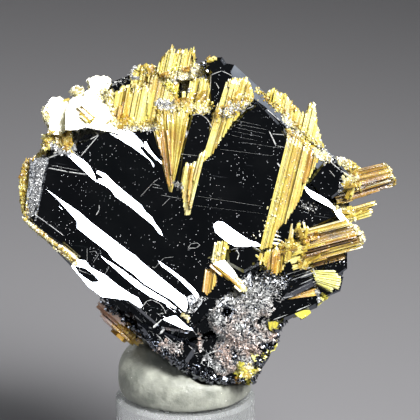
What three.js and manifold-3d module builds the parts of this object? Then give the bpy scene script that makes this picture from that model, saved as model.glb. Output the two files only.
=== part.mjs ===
// Rutile on hematite: a mineral specimen about 34 mm wide, pressed into a lump of mineral tack on top of
// a clear rod. A thick black hematite tablet carries raised plates, ledges and small blades. Golden rutile
// lies on it in needles and rods along three directions 60 degrees apart, as rutile does on hematite.
// Units are millimetres and +Z is up. The origin is the centre of the rod's foot, and the front faces -Y.
//
// The specimen has its own frame: u to the right, v up along the tablet, w out of its front face.
import * as THREE from "three";
import { mergeVertices } from "three/addons/utils/BufferGeometryUtils.js";
import { ConvexGeometry } from "three/addons/geometries/ConvexGeometry.js";
import Module from "manifold-3d";

const wasm = await Module();
wasm.setup();

// Driving dimensions
const ROD_DIAMETER = 12.7;
const ROD_HEIGHT = 15;
const ROD_CHAMFER = 0.35;
const LEAN_BACK_DEG = 18; // the tablet leans back from the vertical by this much
const ROD_TOP = [-1.35, -14.85, -4.5]; // where the middle of the rod's top lies in the specimen's frame
const GAP = 0.15; // left between neighbouring pieces that would share a face

// The three directions of the crystals, as angles from u
const STEEP_DEG = 77;
const SHALLOW_DEG = 18;
const FALLING_DEG = -42;

// Levels of the hematite along w
const BACK_LEVEL = -5;
const BASE_LEVEL = 1.5;
const PLATE_LEVEL = 4;
const LEDGE_TILT_DEG = 18; // the bright facets of the ledges turn up and to the right by this much
const SMALL_BEVEL = { inset: 0.15, depth: 0.15 };
const LEVEL = { u: 0, v: 0 };
const ROOF_SLOPE = 0.3; // how far the front ridge of a rod stands above its sides, as a share of its width

const radians = THREE.MathUtils.degToRad;
const lerp = THREE.MathUtils.lerp;

// A repeatable stream of numbers from 0 to 1
function randomStream(seed) {
  let state = seed;
  return () => {
    state = (state * 1664525 + 1013904223) % 4294967296;
    return state / 4294967296;
  };
}

// A closed three.js geometry as a manifold-3d solid
function solidOf(geometry) {
  const bare = geometry.clone();
  bare.deleteAttribute("normal");
  bare.deleteAttribute("uv");
  const merged = mergeVertices(bare, 1e-4);
  return new wasm.Manifold(
    new wasm.Mesh({
      numProp: 3,
      vertProperties: merged.attributes.position.array,
      triVerts: new Uint32Array(merged.index.array),
    }),
  );
}

// The triangles of a mesh that belong to its largest body: chips that a cut leaves loose are dropped
function largestBody({ vertProperties, triVerts, numProp, numVert }) {
  const link = Array.from({ length: numVert }, (_, i) => i);
  const head = (i) => {
    while (link[i] !== i) i = link[i];
    return i;
  };
  for (let i = 0; i < triVerts.length; i += 3) {
    link[head(triVerts[i + 1])] = head(triVerts[i]);
    link[head(triVerts[i + 2])] = head(triVerts[i]);
  }
  const corner = (i) => new THREE.Vector3().fromArray(vertProperties, i * numProp);
  const volumes = new Map();
  for (let i = 0; i < triVerts.length; i += 3) {
    const [p, q, r] = [corner(triVerts[i]), corner(triVerts[i + 1]), corner(triVerts[i + 2])];
    const body = head(triVerts[i]);
    volumes.set(body, (volumes.get(body) ?? 0) + p.dot(q.cross(r)) / 6);
  }
  const [largest] = [...volumes].reduce((a, b) => (b[1] > a[1] ? b : a));
  return triVerts.filter((_, i) => head(triVerts[i - (i % 3)]) === largest);
}

// A manifold-3d solid as a three.js geometry
function geometryOf(solid) {
  const mesh = solid.getMesh();
  const positions = new Float32Array(mesh.numVert * 3);
  for (let i = 0; i < mesh.numVert; i++) {
    positions.set(mesh.vertProperties.subarray(i * mesh.numProp, i * mesh.numProp + 3), i * 3);
  }
  const geometry = new THREE.BufferGeometry();
  geometry.setAttribute("position", new THREE.BufferAttribute(positions, 3));
  geometry.setIndex(new THREE.BufferAttribute(largestBody(mesh), 1));
  geometry.computeVertexNormals();
  return geometry;
}

const hullOf = (points) => solidOf(new ConvexGeometry(points));
const joined = (solids) => solids.reduce((sum, solid) => sum.add(solid));
const cutBy = (solid, cutters) => cutters.reduce((rest, cutter) => rest.subtract(cutter), solid);

// Convex outlines

function signedArea(outline) {
  return outline.reduce((sum, [u, v], i) => {
    const [nextU, nextV] = outline[(i + 1) % outline.length];
    return sum + (u * nextV - nextU * v) / 2;
  }, 0);
}

// The part of a convex outline that lies at least inset inside each edge. A negative inset grows it.
function insetOutline(outline, inset) {
  const turning = signedArea(outline) > 0 ? outline : [...outline].reverse();
  const far = 100;
  let rest = [[-far, -far], [far, -far], [far, far], [-far, far]];
  turning.forEach(([u, v], i) => {
    const [nextU, nextV] = turning[(i + 1) % turning.length];
    const length = Math.hypot(nextU - u, nextV - v);
    const inwardU = -(nextV - v) / length;
    const inwardV = (nextU - u) / length;
    const depth = ([pu, pv]) => (pu - u) * inwardU + (pv - v) * inwardV - inset;
    const kept = [];
    rest.forEach((point, k) => {
      const next = rest[(k + 1) % rest.length];
      const here = depth(point);
      const there = depth(next);
      if (here >= 0) kept.push(point);
      if (here * there < 0) {
        const share = here / (here - there);
        kept.push([lerp(point[0], next[0], share), lerp(point[1], next[1], share)]);
      }
    });
    rest = kept;
  });
  return rest;
}

// A tablet: a convex plate from w = back to w = front, bevelled in front and, with backBevel, behind.
// A bevel is { inset, depth }. slope { u, v } turns the front face about the outline's first corner. side is
// 1, or -1 for a plate on the back, whose levels are then measured along -w.
function tablet({ outline, back, front, bevel = SMALL_BEVEL, backBevel, slope = LEVEL, side = 1 }, grow = 0) {
  const [pivotU, pivotV] = outline[0];
  const rise = ([u, v]) => (u - pivotU) * slope.u + (v - pivotV) * slope.v;
  const edge = insetOutline(outline, -grow);
  const face = insetOutline(outline, bevel.inset - grow);
  const rear = insetOutline(outline, (backBevel ? backBevel.inset : 0) - grow);
  const points = [
    ...edge.map((p) => new THREE.Vector3(p[0], p[1], front + grow - bevel.depth + rise(p))),
    ...face.map((p) => new THREE.Vector3(p[0], p[1], front + grow + rise(p))),
    ...rear.map((p) => new THREE.Vector3(p[0], p[1], back - grow)),
  ];
  if (backBevel) {
    const rim = back - grow + backBevel.depth;
    points.push(...edge.map((p) => new THREE.Vector3(p[0], p[1], rim)));
  }
  points.forEach((point) => point.setZ(side * point.z));
  return hullOf(points);
}

// A ledge: a thin wedge on a face at w = level, with a jagged outline. Its one flat top turns up and to the
// right by LEDGE_TILT_DEG: it starts level with the face at its upper right and ends in a step at its lower
// left.
function ledge({ outline, level, sunk = 0.6 }, grow = 0) {
  const facing = radians(FALLING_DEG + 90);
  const reach = ([u, v]) => u * Math.cos(facing) + v * Math.sin(facing);
  const furthest = Math.max(...outline.map(reach));
  const lowest = 0.02;
  const height = (p) => level + grow + lowest + (furthest - reach(p)) * Math.tan(radians(LEDGE_TILT_DEG));
  const turning = signedArea(outline) > 0 ? outline : [...outline].reverse();
  const n = turning.length;
  const positions = [];
  turning.forEach(([u, v]) => positions.push(u, v, level - sunk));
  turning.forEach(([u, v]) => positions.push(u, v, height([u, v])));
  const index = [];
  const contour = turning.map(([u, v]) => new THREE.Vector2(u, v));
  THREE.ShapeUtils.triangulateShape(contour, []).forEach(([a, b, c]) => {
    index.push(a, c, b);
    index.push(a + n, b + n, c + n);
  });
  for (let i = 0; i < n; i++) {
    const j = (i + 1) % n;
    index.push(i, j, j + n);
    index.push(i, j + n, i + n);
  }
  const geometry = new THREE.BufferGeometry();
  geometry.setAttribute("position", new THREE.Float32BufferAttribute(positions, 3));
  geometry.setIndex(index);
  return solidOf(geometry);
}

// A rod or blade from root to tip, both [u, v, w]. Its widths lie across it in the plane, depth along w.
// Its front is a low roof, and its tip a ridge. skew moves both off the middle, as a prism breaks.
function rod({ root, tip, rootWidth, width, depth, skew = 0.3 }, grow = 0) {
  const start = new THREE.Vector3(...root);
  const end = new THREE.Vector3(...tip);
  const along = end.clone().sub(start).normalize();
  const across = new THREE.Vector3(0, 0, 1).cross(along).normalize();
  const out = along.clone().cross(across);
  start.addScaledVector(along, -grow);
  end.addScaledVector(along, grow);
  const shoulder = end.clone().addScaledVector(along, -0.45 * width);
  const eaves = Math.min(ROOF_SLOPE * width, depth / 2);
  const at = (centre, side, level) => {
    return centre.clone().addScaledVector(across, side).addScaledVector(out, level);
  };
  const section = (centre, fullWidth) => {
    const side = fullWidth / 2 + grow;
    const back = -depth / 2 - grow;
    const front = depth / 2 + grow;
    return [
      at(centre, -side, back),
      at(centre, side, back),
      at(centre, side, front - eaves),
      at(centre, -side, front - eaves),
      at(centre, skew * side, front),
    ];
  };
  const tipBack = at(end, skew * width, -0.35 * depth - grow);
  const tipFront = at(end, skew * width, 0.35 * depth + grow);
  return hullOf([...section(start, rootWidth), ...section(shoulder, width), tipBack, tipFront]);
}

// The point at a share of the way along a line of points
function alongLine(line, share) {
  const place = Math.min(share, 0.9999) * (line.length - 1);
  const i = Math.floor(place);
  return [lerp(line[i][0], line[i + 1][0], place - i), lerp(line[i][1], line[i + 1][1], place - i)];
}

function pathLength(line) {
  return line.slice(1).reduce((sum, [u, v], i) => sum + Math.hypot(u - line[i][0], v - line[i][1]), 0);
}

// A spray: a row of rods fused side by side, from a line of roots to a line of tips, between w = back and
// w = front. Each rod stands a little lower or longer than its neighbours, by the shares uneven and ragged.
function spray({ roots, tips, back, front, rods, uneven = 0.25, ragged = 0.05, seed = 1 }, grow = 0) {
  const random = randomStream(seed);
  const rootWidth = Math.max(0.3, (1.4 * pathLength(roots)) / rods);
  const tipWidth = Math.max(0.3, (1.4 * pathLength(tips)) / rods);
  const made = [];
  for (let i = 0; i < rods; i++) {
    const share = (i + 0.5) / rods;
    const root = alongLine(roots, share);
    const reach = 1 + ragged * (random() * 2 - 1);
    const tip = alongLine(tips, share).map((x, k) => lerp(root[k], x, reach));
    const depth = (front - back) * (1 - uneven * random());
    const level = back + depth / 2;
    const width = tipWidth * (0.85 + 0.4 * random());
    const skew = random() - 0.5;
    made.push(rod({ root: [...root, level], tip: [...tip, level], rootWidth, width, depth, skew }, grow));
  }
  return joined(made);
}

// Hematite: the base tablet, raised plates and ledges

const BASE = {
  outline: [
    [-15.7, 0.9], [-15.0, 6.4], [-12.4, 9.2], [-8.1, 13.3], [-6.2, 14.0], [1.4, 15.2], [3.1, 14.9],
    [13.0, 5.8], [13.6, 4.0], [12.9, -4.0], [11.6, -5.8], [7.4, -8.5], [-1.9, -12.2], [-4.4, -10.3],
    [-8.6, -6.4],
  ],
  back: BACK_LEVEL,
  front: BASE_LEVEL,
  bevel: { inset: 1.9, depth: 2.2 },
  backBevel: { inset: 2.4, depth: 2.6 },
};

const FOOT = {
  outline: [
    [-5.6, -8.0], [-2.4, -12.0], [0.5, -13.7], [4.8, -13.6], [6.2, -11.6], [6.9, -9.6], [6.8, -6.0],
    [0.0, -4.0],
  ],
  back: BACK_LEVEL + 0.9,
  front: 0.9,
  bevel: { inset: 0.9, depth: 1.3 },
  backBevel: { inset: 1.2, depth: 1.4 },
};

const FRONT_PLATES = [
  // the large left plate
  {
    outline: [
      [-14.8, 1.0], [-13.6, 6.5], [-11.4, 7.6], [-8.5, 8.9], [-3.9, 9.2], [-1.9, 7.0],
      [5.5, -1.6], [5.5, -2.5], [3.4, -5.0], [0.1, -8.2], [-1.1, -9.2], [-3.6, -8.8],
    ],
    back: -1.5,
    front: PLATE_LEVEL,
    bevel: { inset: 0.25, depth: 0.5 },
  },
  // the silver facet along the left edge
  {
    outline: [[-15.5, 1.2], [-14.9, 6.2], [-13.4, 6.4], [-14.6, 0.9]],
    back: -1.5,
    front: 2.8,
    slope: { u: 0.58, v: -0.1 },
  },
  // the leaf-shaped upper lens, which shares the left plate's face
  {
    outline: [
      [-0.9, 1.3], [0.0, 6.1], [2.3, 8.8], [4.1, 10.7], [5.0, 11.2], [5.9, 10.8], [7.1, 9.5],
      [7.8, 8.2], [7.8, 6.4], [6.6, 2.3], [5.5, -1.6], [3.2, -2.8], [0.9, -2.5],
    ],
    back: 0,
    front: PLATE_LEVEL,
    bevel: { inset: 0.2, depth: 0.35 },
  },
  // the small lens between two wedges of rutile
  {
    outline: [
      [-2.6, 3.4], [-1.6, 7.1], [-1.2, 9.9], [-0.4, 10.5], [0.4, 10.3], [1.0, 9.6], [0.9, 7.4],
      [0.1, 6.1], [-1.2, 4.2],
    ],
    back: 0,
    front: PLATE_LEVEL + 0.25,
    bevel: { inset: 0.15, depth: 0.3 },
  },
  // the upper small lens
  {
    outline: [
      [0.8, 12.3], [0.9, 13.9], [1.9, 14.3], [2.7, 14.0], [2.9, 13.5], [2.4, 12.3], [1.6, 11.0],
      [0.9, 10.8],
    ],
    back: 0,
    front: PLATE_LEVEL - 0.3,
    bevel: { inset: 0.15, depth: 0.3 },
  },
  // the grey corner at the very top
  {
    outline: [[0.0, 14.6], [0.6, 15.4], [2.0, 15.5], [2.4, 14.9], [2.9, 13.8], [1.3, 13.6]],
    back: -2,
    front: 2.2,
    bevel: { inset: 0.3, depth: 0.5 },
  },
  // the bright-edged blade on the right
  {
    outline: [[9.6, 4.3], [11.2, 6.3], [12.1, 6.4], [13.6, 4.7], [13.7, 4.4], [11.8, 2.8], [10.9, 2.8]],
    back: -1,
    front: 3.3,
    bevel: { inset: 0.2, depth: 0.3 },
    slope: { u: -0.05, v: -0.04 },
  },
  // the blade below it
  {
    outline: [[8.9, 3.1], [10.0, 2.7], [11.7, 2.1], [12.4, 1.2], [9.5, -0.1], [8.7, 1.0]],
    back: -1,
    front: 2.7,
    bevel: { inset: 0.15, depth: 0.25 },
    slope: { u: -0.06, v: 0.05 },
  },
  // the small one beside the foot of the band
  {
    outline: [[8.2, 0.6], [8.8, -0.6], [8.0, -1.5], [6.5, -1.3]],
    back: -1,
    front: 3.1,
  },
  // the rounded plate between the lens and the druse
  {
    outline: [[2.3, -1.8], [4.6, -1.3], [5.8, -1.9], [5.5, -3.0], [3.9, -3.8], [2.4, -3.0]],
    back: 0,
    front: PLATE_LEVEL + 0.45,
    bevel: { inset: 0.25, depth: 0.3 },
  },
  // dark blocks of the right edge
  {
    outline: [[11.0, -2.1], [13.2, -2.0], [13.2, -3.5], [12.2, -4.2], [11.0, -3.8]],
    back: -3,
    front: 1.6,
    slope: { u: -0.1, v: 0 },
  },
  {
    outline: [[10.6, -4.5], [12.9, -4.2], [12.6, -5.5], [11.4, -6.0], [10.4, -5.6]],
    back: -3.4,
    front: 1.1,
    slope: { u: -0.15, v: 0 },
  },
  // the low plates of the dark foot
  {
    outline: [[-6.2, -7.3], [-3.6, -8.6], [-0.9, -9.0], [-0.2, -10.6], [-1.4, -12.4], [-4.4, -10.5]],
    back: -2,
    front: 2.9,
    bevel: { inset: 0.4, depth: 0.4 },
    slope: { u: 0.03, v: 0.1 },
  },
  {
    outline: [[-0.8, -9.6], [1.3, -9.4], [2.0, -11.6], [1.6, -13.5], [0.1, -13.6], [-1.6, -12.2]],
    back: -2,
    front: 2.3,
    bevel: { inset: 0.3, depth: 0.4 },
    slope: { u: -0.1, v: 0.12 },
  },
  {
    outline: [[1.4, -12.2], [4.4, -11.4], [5.0, -12.4], [4.7, -13.5], [1.6, -13.7]],
    back: -2.5,
    front: 1.5,
    bevel: { inset: 0.3, depth: 0.4 },
  },
];

const BACK_PLATES = [
  {
    outline: [
      [-12.2, 1.6], [-11.6, 6.0], [-7.4, 9.4], [0.6, 11.0], [3.6, 8.0], [2.4, 1.0], [-2.6, -4.4],
      [-6.0, -4.0],
    ],
    back: -3,
    front: 6.6,
    bevel: { inset: 0.5, depth: 0.7 },
  },
  {
    outline: [[1.2, -8.6], [-3.0, -6.0], [1.0, 0.6], [7.8, 5.2], [10.4, 3.0], [9.6, -3.6], [5.2, -8.4]],
    back: -3,
    front: 6.1,
    bevel: { inset: 0.5, depth: 0.6 },
    slope: { u: 0.03, v: -0.04 },
  },
  {
    outline: [[4.2, 6.6], [1.8, 10.4], [3.2, 12.2], [6.8, 10.2], [8.4, 7.0]],
    back: -3,
    front: 5.9,
    bevel: { inset: 0.4, depth: 0.5 },
  },
  {
    outline: [[-9.4, 3.0], [-8.8, 6.0], [-5.6, 7.8], [-2.0, 8.0], [-2.6, 4.2], [-5.4, 1.6]],
    back: -3,
    front: 7.3,
    bevel: { inset: 0.35, depth: 0.45 },
  },
];

const LEDGES = [
  // the broad stripe from the left corner to the foot, and the narrow one beside its lower end
  {
    outline: [
      [-13.6, 3.6], [-11.9, 2.4], [-10.7, 1.6], [-9.7, 0.7], [-8.0, -0.6], [-6.3, -1.9], [-5.7, -2.3],
      [-5.2, -2.8], [-3.5, -4.2], [-1.9, -5.5], [-1.3, -5.9], [-1.1, -6.5], [-1.2, -7.2], [-1.4, -7.2],
      [-2.5, -6.2], [-3.7, -5.5], [-5.0, -4.7], [-6.0, -3.8], [-6.6, -3.4], [-7.7, -2.6], [-8.2, -1.9],
      [-9.9, -0.6], [-10.9, 0.2], [-10.9, 0.8], [-11.6, 1.6], [-12.6, 2.7],
    ],
    level: PLATE_LEVEL,
  },
  {
    outline: [
      [-8.8, -2.3], [-7.4, -3.2], [-6.8, -3.6], [-5.9, -4.3], [-4.7, -5.1], [-3.5, -5.8], [-2.1, -6.9],
      [-2.2, -7.0], [-3.1, -6.5], [-4.4, -5.9], [-5.6, -5.1], [-6.7, -4.2], [-7.7, -3.3], [-8.3, -2.8],
    ],
    level: PLATE_LEVEL,
  },
  // the two of the upper middle
  {
    outline: [
      [-9.1, 5.3], [-8.4, 5.0], [-7.5, 4.1], [-6.3, 3.1], [-5.2, 2.2], [-4.8, 1.6], [-4.3, 1.2],
      [-3.9, 0.5], [-3.5, 0.0], [-3.3, -0.5], [-3.7, -0.2], [-4.1, 0.4], [-5.2, 1.3], [-6.3, 2.2],
      [-7.5, 3.0], [-7.9, 3.6], [-8.5, 4.0], [-9.1, 4.3], [-9.0, 4.6], [-8.5, 4.5], [-8.7, 4.8],
      [-9.2, 5.1],
    ],
    level: PLATE_LEVEL,
  },
  {
    outline: [
      [-11.8, 6.9], [-11.4, 6.9], [-10.3, 6.2], [-9.8, 5.7], [-9.4, 5.0], [-9.2, 4.3], [-9.8, 4.8],
      [-10.3, 5.3], [-11.4, 6.3], [-11.8, 6.7],
    ],
    level: PLATE_LEVEL,
  },
  {
    outline: [
      [-3.7, -2.7], [-2.7, -3.4], [-1.5, -4.3], [-0.5, -5.2], [-0.1, -5.8], [-0.3, -6.1], [-0.7, -5.5],
      [-1.7, -4.5], [-2.8, -3.6], [-3.4, -3.2],
    ],
    level: PLATE_LEVEL,
  },
  // the forked one beside the crown
  {
    outline: [
      [-8.2, 8.9], [-7.8, 9.2], [-6.5, 9.2], [-5.6, 8.3], [-5.1, 7.8], [-5.0, 7.2], [-4.6, 6.7],
      [-4.1, 6.0], [-4.1, 5.6], [-4.4, 6.2], [-4.9, 6.6], [-5.7, 7.0], [-6.8, 7.9], [-8.0, 8.6],
    ],
    level: PLATE_LEVEL,
  },
  {
    outline: [
      [-4.9, 7.9], [-4.5, 7.8], [-3.9, 7.2], [-3.5, 6.8], [-3.3, 6.3], [-3.4, 5.9], [-3.7, 6.2],
      [-4.2, 6.4], [-4.7, 6.9], [-4.9, 7.3],
    ],
    level: PLATE_LEVEL,
  },
  // above the rounded plate
  {
    outline: [
      [1.2, 0.5], [1.6, 0.8], [2.1, 0.7], [3.2, -0.1], [4.4, -0.9], [5.1, -1.1], [5.5, -1.4],
      [4.1, -1.4], [3.1, -1.4], [2.5, -1.1], [1.4, -0.2],
    ],
    level: PLATE_LEVEL,
  },
  // on the lower left edge
  {
    outline: [
      [-11.4, -3.2], [-10.9, -2.6], [-10.2, -2.7], [-9.7, -3.3], [-8.4, -4.0], [-7.3, -4.9], [-6.1, -5.7],
      [-5.5, -6.0], [-5.1, -6.7], [-5.3, -6.9], [-6.4, -6.2], [-7.9, -6.0], [-8.7, -5.9], [-9.9, -5.0],
      [-10.8, -3.9],
    ],
    level: PLATE_LEVEL,
    sunk: 4,
  },
  {
    outline: [[-3.3, -7.9], [-1.9, -7.5], [-0.6, -8.9], [-1.4, -8.8], [-2.7, -8.2]],
    level: PLATE_LEVEL - 0.1,
  },
  // the thin curved one over the blades of the right edge
  {
    outline: [
      [9.1, 4.2], [9.6, 3.7], [10.7, 3.1], [11.4, 2.7], [11.9, 2.2], [12.6, 1.6], [12.9, 1.2],
      [13.4, 0.6], [12.6, 0.8], [12.2, 1.3], [11.9, 1.9], [11.1, 2.3], [10.0, 2.9], [9.6, 3.3],
    ],
    level: 3.1,
  },
];

// Dark prisms of the lower right, along SHALLOW_DEG
const DARK_RODS = [
  { root: [6.4, -6.4, 1.6], tip: [10.4, -4.4, 1.8], rootWidth: 0.9, width: 0.85, depth: 1.6 },
  { root: [5.9, -8.2, 1.0], tip: [10.7, -6.4, 1.0], rootWidth: 1.0, width: 0.9, depth: 1.8 },
  { root: [6.6, -4.9, 1.8], tip: [10.2, -3.7, 2.0], rootWidth: 0.7, width: 0.6, depth: 1.4 },
  { root: [5.2, -9.6, 0.4], tip: [7.1, -8.9, 0.4], rootWidth: 0.8, width: 0.7, depth: 1.6 },
];

function hematite(grow = 0) {
  return joined([
    tablet(BASE, grow),
    tablet(FOOT, grow),
    ...FRONT_PLATES.map((shape) => tablet(shape, grow)),
    ...BACK_PLATES.map((shape) => tablet({ ...shape, side: -1 }, grow)),
    ...LEDGES.map((shape) => ledge(shape, grow)),
    ...DARK_RODS.map((shape) => rod(shape, grow)),
  ]);
}

// Druse: rough lumps low on the front

const DRUSE_LUMPS = [
  { centre: [2.4, -7.3, 2.6], radii: [1.9, 2.3, 2.2] },
  { centre: [4.9, -6.2, 2.5], radii: [1.9, 2.1, 1.9] },
  { centre: [5.6, -4.6, 2.6], radii: [1.4, 1.3, 1.4] },
  { centre: [3.9, -8.9, 2.1], radii: [2.3, 2.1, 1.9] },
  { centre: [3.1, -11.0, 1.8], radii: [1.7, 1.8, 1.6] },
];
const DRUSE_ROUGHNESS = 0.2; // how much the distance of the lumps' corners from their middle varies

function druseLump({ centre, radii }, grow, random) {
  const sphere = new THREE.IcosahedronGeometry(1, 2).deleteAttribute("normal").deleteAttribute("uv");
  const ball = mergeVertices(sphere, 1e-4);
  const corners = ball.attributes.position;
  for (let i = 0; i < corners.count; i++) {
    const reach = 1 - DRUSE_ROUGHNESS * random();
    corners.setXYZ(
      i,
      centre[0] + corners.getX(i) * (radii[0] * reach + grow),
      centre[1] + corners.getY(i) * (radii[1] * reach + grow),
      centre[2] + corners.getZ(i) * (radii[2] * reach + grow),
    );
  }
  return solidOf(ball);
}

function druse(grow = 0) {
  const random = randomStream(7);
  return joined(DRUSE_LUMPS.map((shape) => druseLump(shape, grow, random)));
}

// Rutile: the sprays of each piece. Sprays in one list are intergrown and become one solid.

const RUTILE_SPRAYS = {
  rutile_crown: [
    {
      roots: [[-7.3, 9.0], [-3.9, 9.0]],
      tips: [[-8.1, 11.9], [-7.2, 12.6], [-6.4, 13.0], [-5.5, 13.4], [-4.8, 13.8]],
      back: 0.6, front: 3.3, rods: 7, seed: 3,
    },
    {
      roots: [[-4.5, 9.2], [-0.9, 10.3]],
      tips: [
        [-4.8, 13.8], [-4.1, 14.6], [-3.4, 15.3], [-2.7, 16.1], [-2.3, 16.5], [-1.7, 16.2], [-0.5, 16.2],
        [-0.2, 14.6],
      ],
      back: 0.4, front: 3.5, rods: 10, seed: 5,
    },
    {
      roots: [[-1.5, 10.2], [1.0, 10.4]],
      tips: [[-0.9, 13.6], [-0.3, 13.9], [0.4, 13.7], [0.8, 12.9]],
      back: 0.8, front: 3.4, rods: 5, seed: 9,
    },
    {
      roots: [[-2.8, 3.4], [-2.6, 3.4]],
      tips: [[-4.0, 9.3], [-3.5, 10.5], [-2.5, 11.0], [-1.3, 10.9]],
      back: 3.0, front: 4.5, rods: 7, uneven: 0.4, seed: 11,
    },
  ],
  rutile_fan: [
    {
      roots: [[-1.2, 1.5], [-1.0, 1.5]],
      tips: [[-1.8, 4.8], [-1.3, 6.1], [-0.4, 6.2], [0.3, 7.2]],
      back: 3.2, front: 4.7, rods: 5, uneven: 0.4, seed: 17,
    },
    {
      roots: [[-0.2, 5.6], [0.4, 5.8]],
      tips: [[1.3, 10.6], [2.3, 13.0], [3.2, 13.5], [4.2, 13.7], [4.7, 12.8], [4.7, 11.8], [4.1, 11.0]],
      back: 2.2, front: 4.2, rods: 10, seed: 13,
    },
  ],
  rutile_band: [
    {
      roots: [[5.2, -1.8], [6.1, -1.6]],
      tips: [[7.6, 9.3], [8.6, 8.9], [9.4, 8.3], [10.5, 7.3], [10.6, 6.1]],
      back: 1.2, front: 4.0, rods: 9, seed: 19,
    },
  ],
  rutile_crest: [
    {
      roots: [[5.7, 11.2], [10.8, 6.9]],
      tips: [
        [6.2, 12.6], [6.8, 13.0], [7.1, 12.4], [7.9, 12.3], [8.4, 11.5], [9.0, 11.0],
        [9.6, 10.7], [10.0, 11.7], [10.3, 11.4], [10.5, 10.1], [10.9, 8.5],
      ],
      back: -1.8, front: 0.6, rods: 13, seed: 23,
    },
  ],
  rutile_rods_upper: [
    {
      roots: [[12.4, 5.0], [11.6, 2.2]],
      tips: [[16.5, 6.0], [17.2, 5.3], [17.7, 4.6], [17.0, 3.9]],
      back: -0.6, front: 1.8, rods: 6, ragged: 0.03, seed: 29,
    },
  ],
  rutile_rods_middle: [
    {
      roots: [[12.0, 1.3], [12.4, 0.5]],
      tips: [[15.9, 2.5], [15.3, 1.7], [15.2, 1.1]],
      back: -0.4, front: 0.9, rods: 3, seed: 31,
    },
  ],
  rutile_rods_lower: [
    {
      roots: [[8.9, -0.5], [9.4, -3.0]],
      tips: [[12.5, 0.9], [13.6, 0.6], [14.6, -0.2], [14.6, -0.9], [14.1, -1.7]],
      back: 0.6, front: 3.4, rods: 8, ragged: 0.03, seed: 37,
    },
  ],
};

const RUTILE_RODS = {
  // blades over the druse
  rutile_blades_front: [
    { root: [0.4, -6.0, 4.2], tip: [1.1, -3.0, 4.7], rootWidth: 0.7, width: 0.8, depth: 0.6 },
    { root: [4.2, -5.6, 4.0], tip: [1.3, -2.5, 5.2], rootWidth: 0.9, width: 1.1, depth: 0.6 },
    { root: [1.2, -3.7, 4.4], tip: [2.1, -1.1, 4.9], rootWidth: 0.9, width: 1.1, depth: 0.7 },
  ],
  // upright stubs beside the foot of the band
  rutile_stubs: [
    { root: [6.3, -4.4, 2.9], tip: [6.6, -1.7, 3.7], rootWidth: 0.8, width: 0.9, depth: 1.6 },
    { root: [7.0, -4.3, 2.7], tip: [7.3, -1.5, 3.4], rootWidth: 0.8, width: 0.8, depth: 1.6 },
    { root: [7.7, -4.1, 2.5], tip: [8.0, -1.9, 3.1], rootWidth: 0.8, width: 0.8, depth: 1.6 },
    { root: [8.2, -3.8, 2.3], tip: [8.6, -2.3, 3.0], rootWidth: 0.9, width: 0.7, depth: 1.4 },
    { root: [7.4, -3.4, 2.5], tip: [10.0, -3.0, 3.0], rootWidth: 0.9, width: 0.8, depth: 1.4 },
  ],
  // blocky blades of the upper left
  rutile_cluster: [
    { root: [-9.2, 8.9, 1.9], tip: [-13.5, 11.3, 2.2], rootWidth: 2.0, width: 1.9, depth: 2.4 },
    { root: [-7.3, 8.6, 2.4], tip: [-11.2, 12.2, 2.8], rootWidth: 1.5, width: 1.6, depth: 2.0 },
    { root: [-9.6, 8.4, 1.4], tip: [-13.5, 9.7, 1.6], rootWidth: 1.6, width: 1.5, depth: 2.4 },
    { root: [-10.8, 7.7, 1.2], tip: [-13.8, 8.7, 1.2], rootWidth: 1.4, width: 1.1, depth: 2.0 },
    { root: [-11.8, 7.0, 1.0], tip: [-14.8, 7.4, 1.0], rootWidth: 1.4, width: 1.2, depth: 2.0 },
    { root: [-8.9, 10.9, 1.0], tip: [-9.5, 13.7, 1.4], rootWidth: 1.2, width: 1.9, depth: 1.4 },
    { root: [-9.4, 10.4, 1.0], tip: [-11.9, 12.8, 1.4], rootWidth: 1.2, width: 0.9, depth: 1.6 },
  ],
  // the thin rim along the left and lower left edges
  rutile_rim: [
    { root: [-15.9, 0.9, 0.0], tip: [-15.8, 5.2, 0.2], rootWidth: 0.6, width: 0.9, depth: 1.8 },
    { root: [-15.8, 3.4, 0.6], tip: [-15.5, 6.7, 0.8], rootWidth: 0.6, width: 0.7, depth: 1.4 },
    { root: [-15.9, 1.2, 1.9], tip: [-10.4, -3.6, 2.5], rootWidth: 0.4, width: 1.0, depth: 2.8 },
  ],
  // the peach-coloured slab low on the left
  rutile_slab: [
    { root: [-4.9, -10.2, -0.9], tip: [-8.8, -6.9, -0.9], rootWidth: 1.1, width: 1.3, depth: 1.8 },
    { root: [-5.0, -9.9, -1.1], tip: [-7.5, -8.8, -1.1], rootWidth: 1.2, width: 1.2, depth: 1.6 },
  ],
};

// Yellow shards between the dark prisms of the lower right edge
const SHARDS = [
  { root: [9.5, -3.2, 1.6], tip: [12.9, -5.2, 1.2], rootWidth: 0.6, width: 1.4, depth: 1.4 },
  { root: [9.2, -6.9, 0.4], tip: [11.9, -6.0, 0.0], rootWidth: 0.9, width: 0.7, depth: 1.6 },
  { root: [8.0, -7.5, 0.4], tip: [10.3, -7.6, 0.0], rootWidth: 1.2, width: 0.6, depth: 1.6 },
  { root: [5.4, -8.9, 0.7], tip: [7.8, -8.9, 0.5], rootWidth: 1.0, width: 0.7, depth: 1.4 },
  { root: [5.0, -10.6, 0.6], tip: [7.4, -10.2, 0.2], rootWidth: 0.8, width: 0.8, depth: 1.6 },
  { root: [4.2, -11.2, 0.8], tip: [6.2, -12.3, 0.4], rootWidth: 1.2, width: 0.8, depth: 1.6 },
  { root: [3.2, -12.0, 1.6], tip: [4.9, -13.8, 1.2], rootWidth: 1.0, width: 0.9, depth: 1.6 },
];

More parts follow.
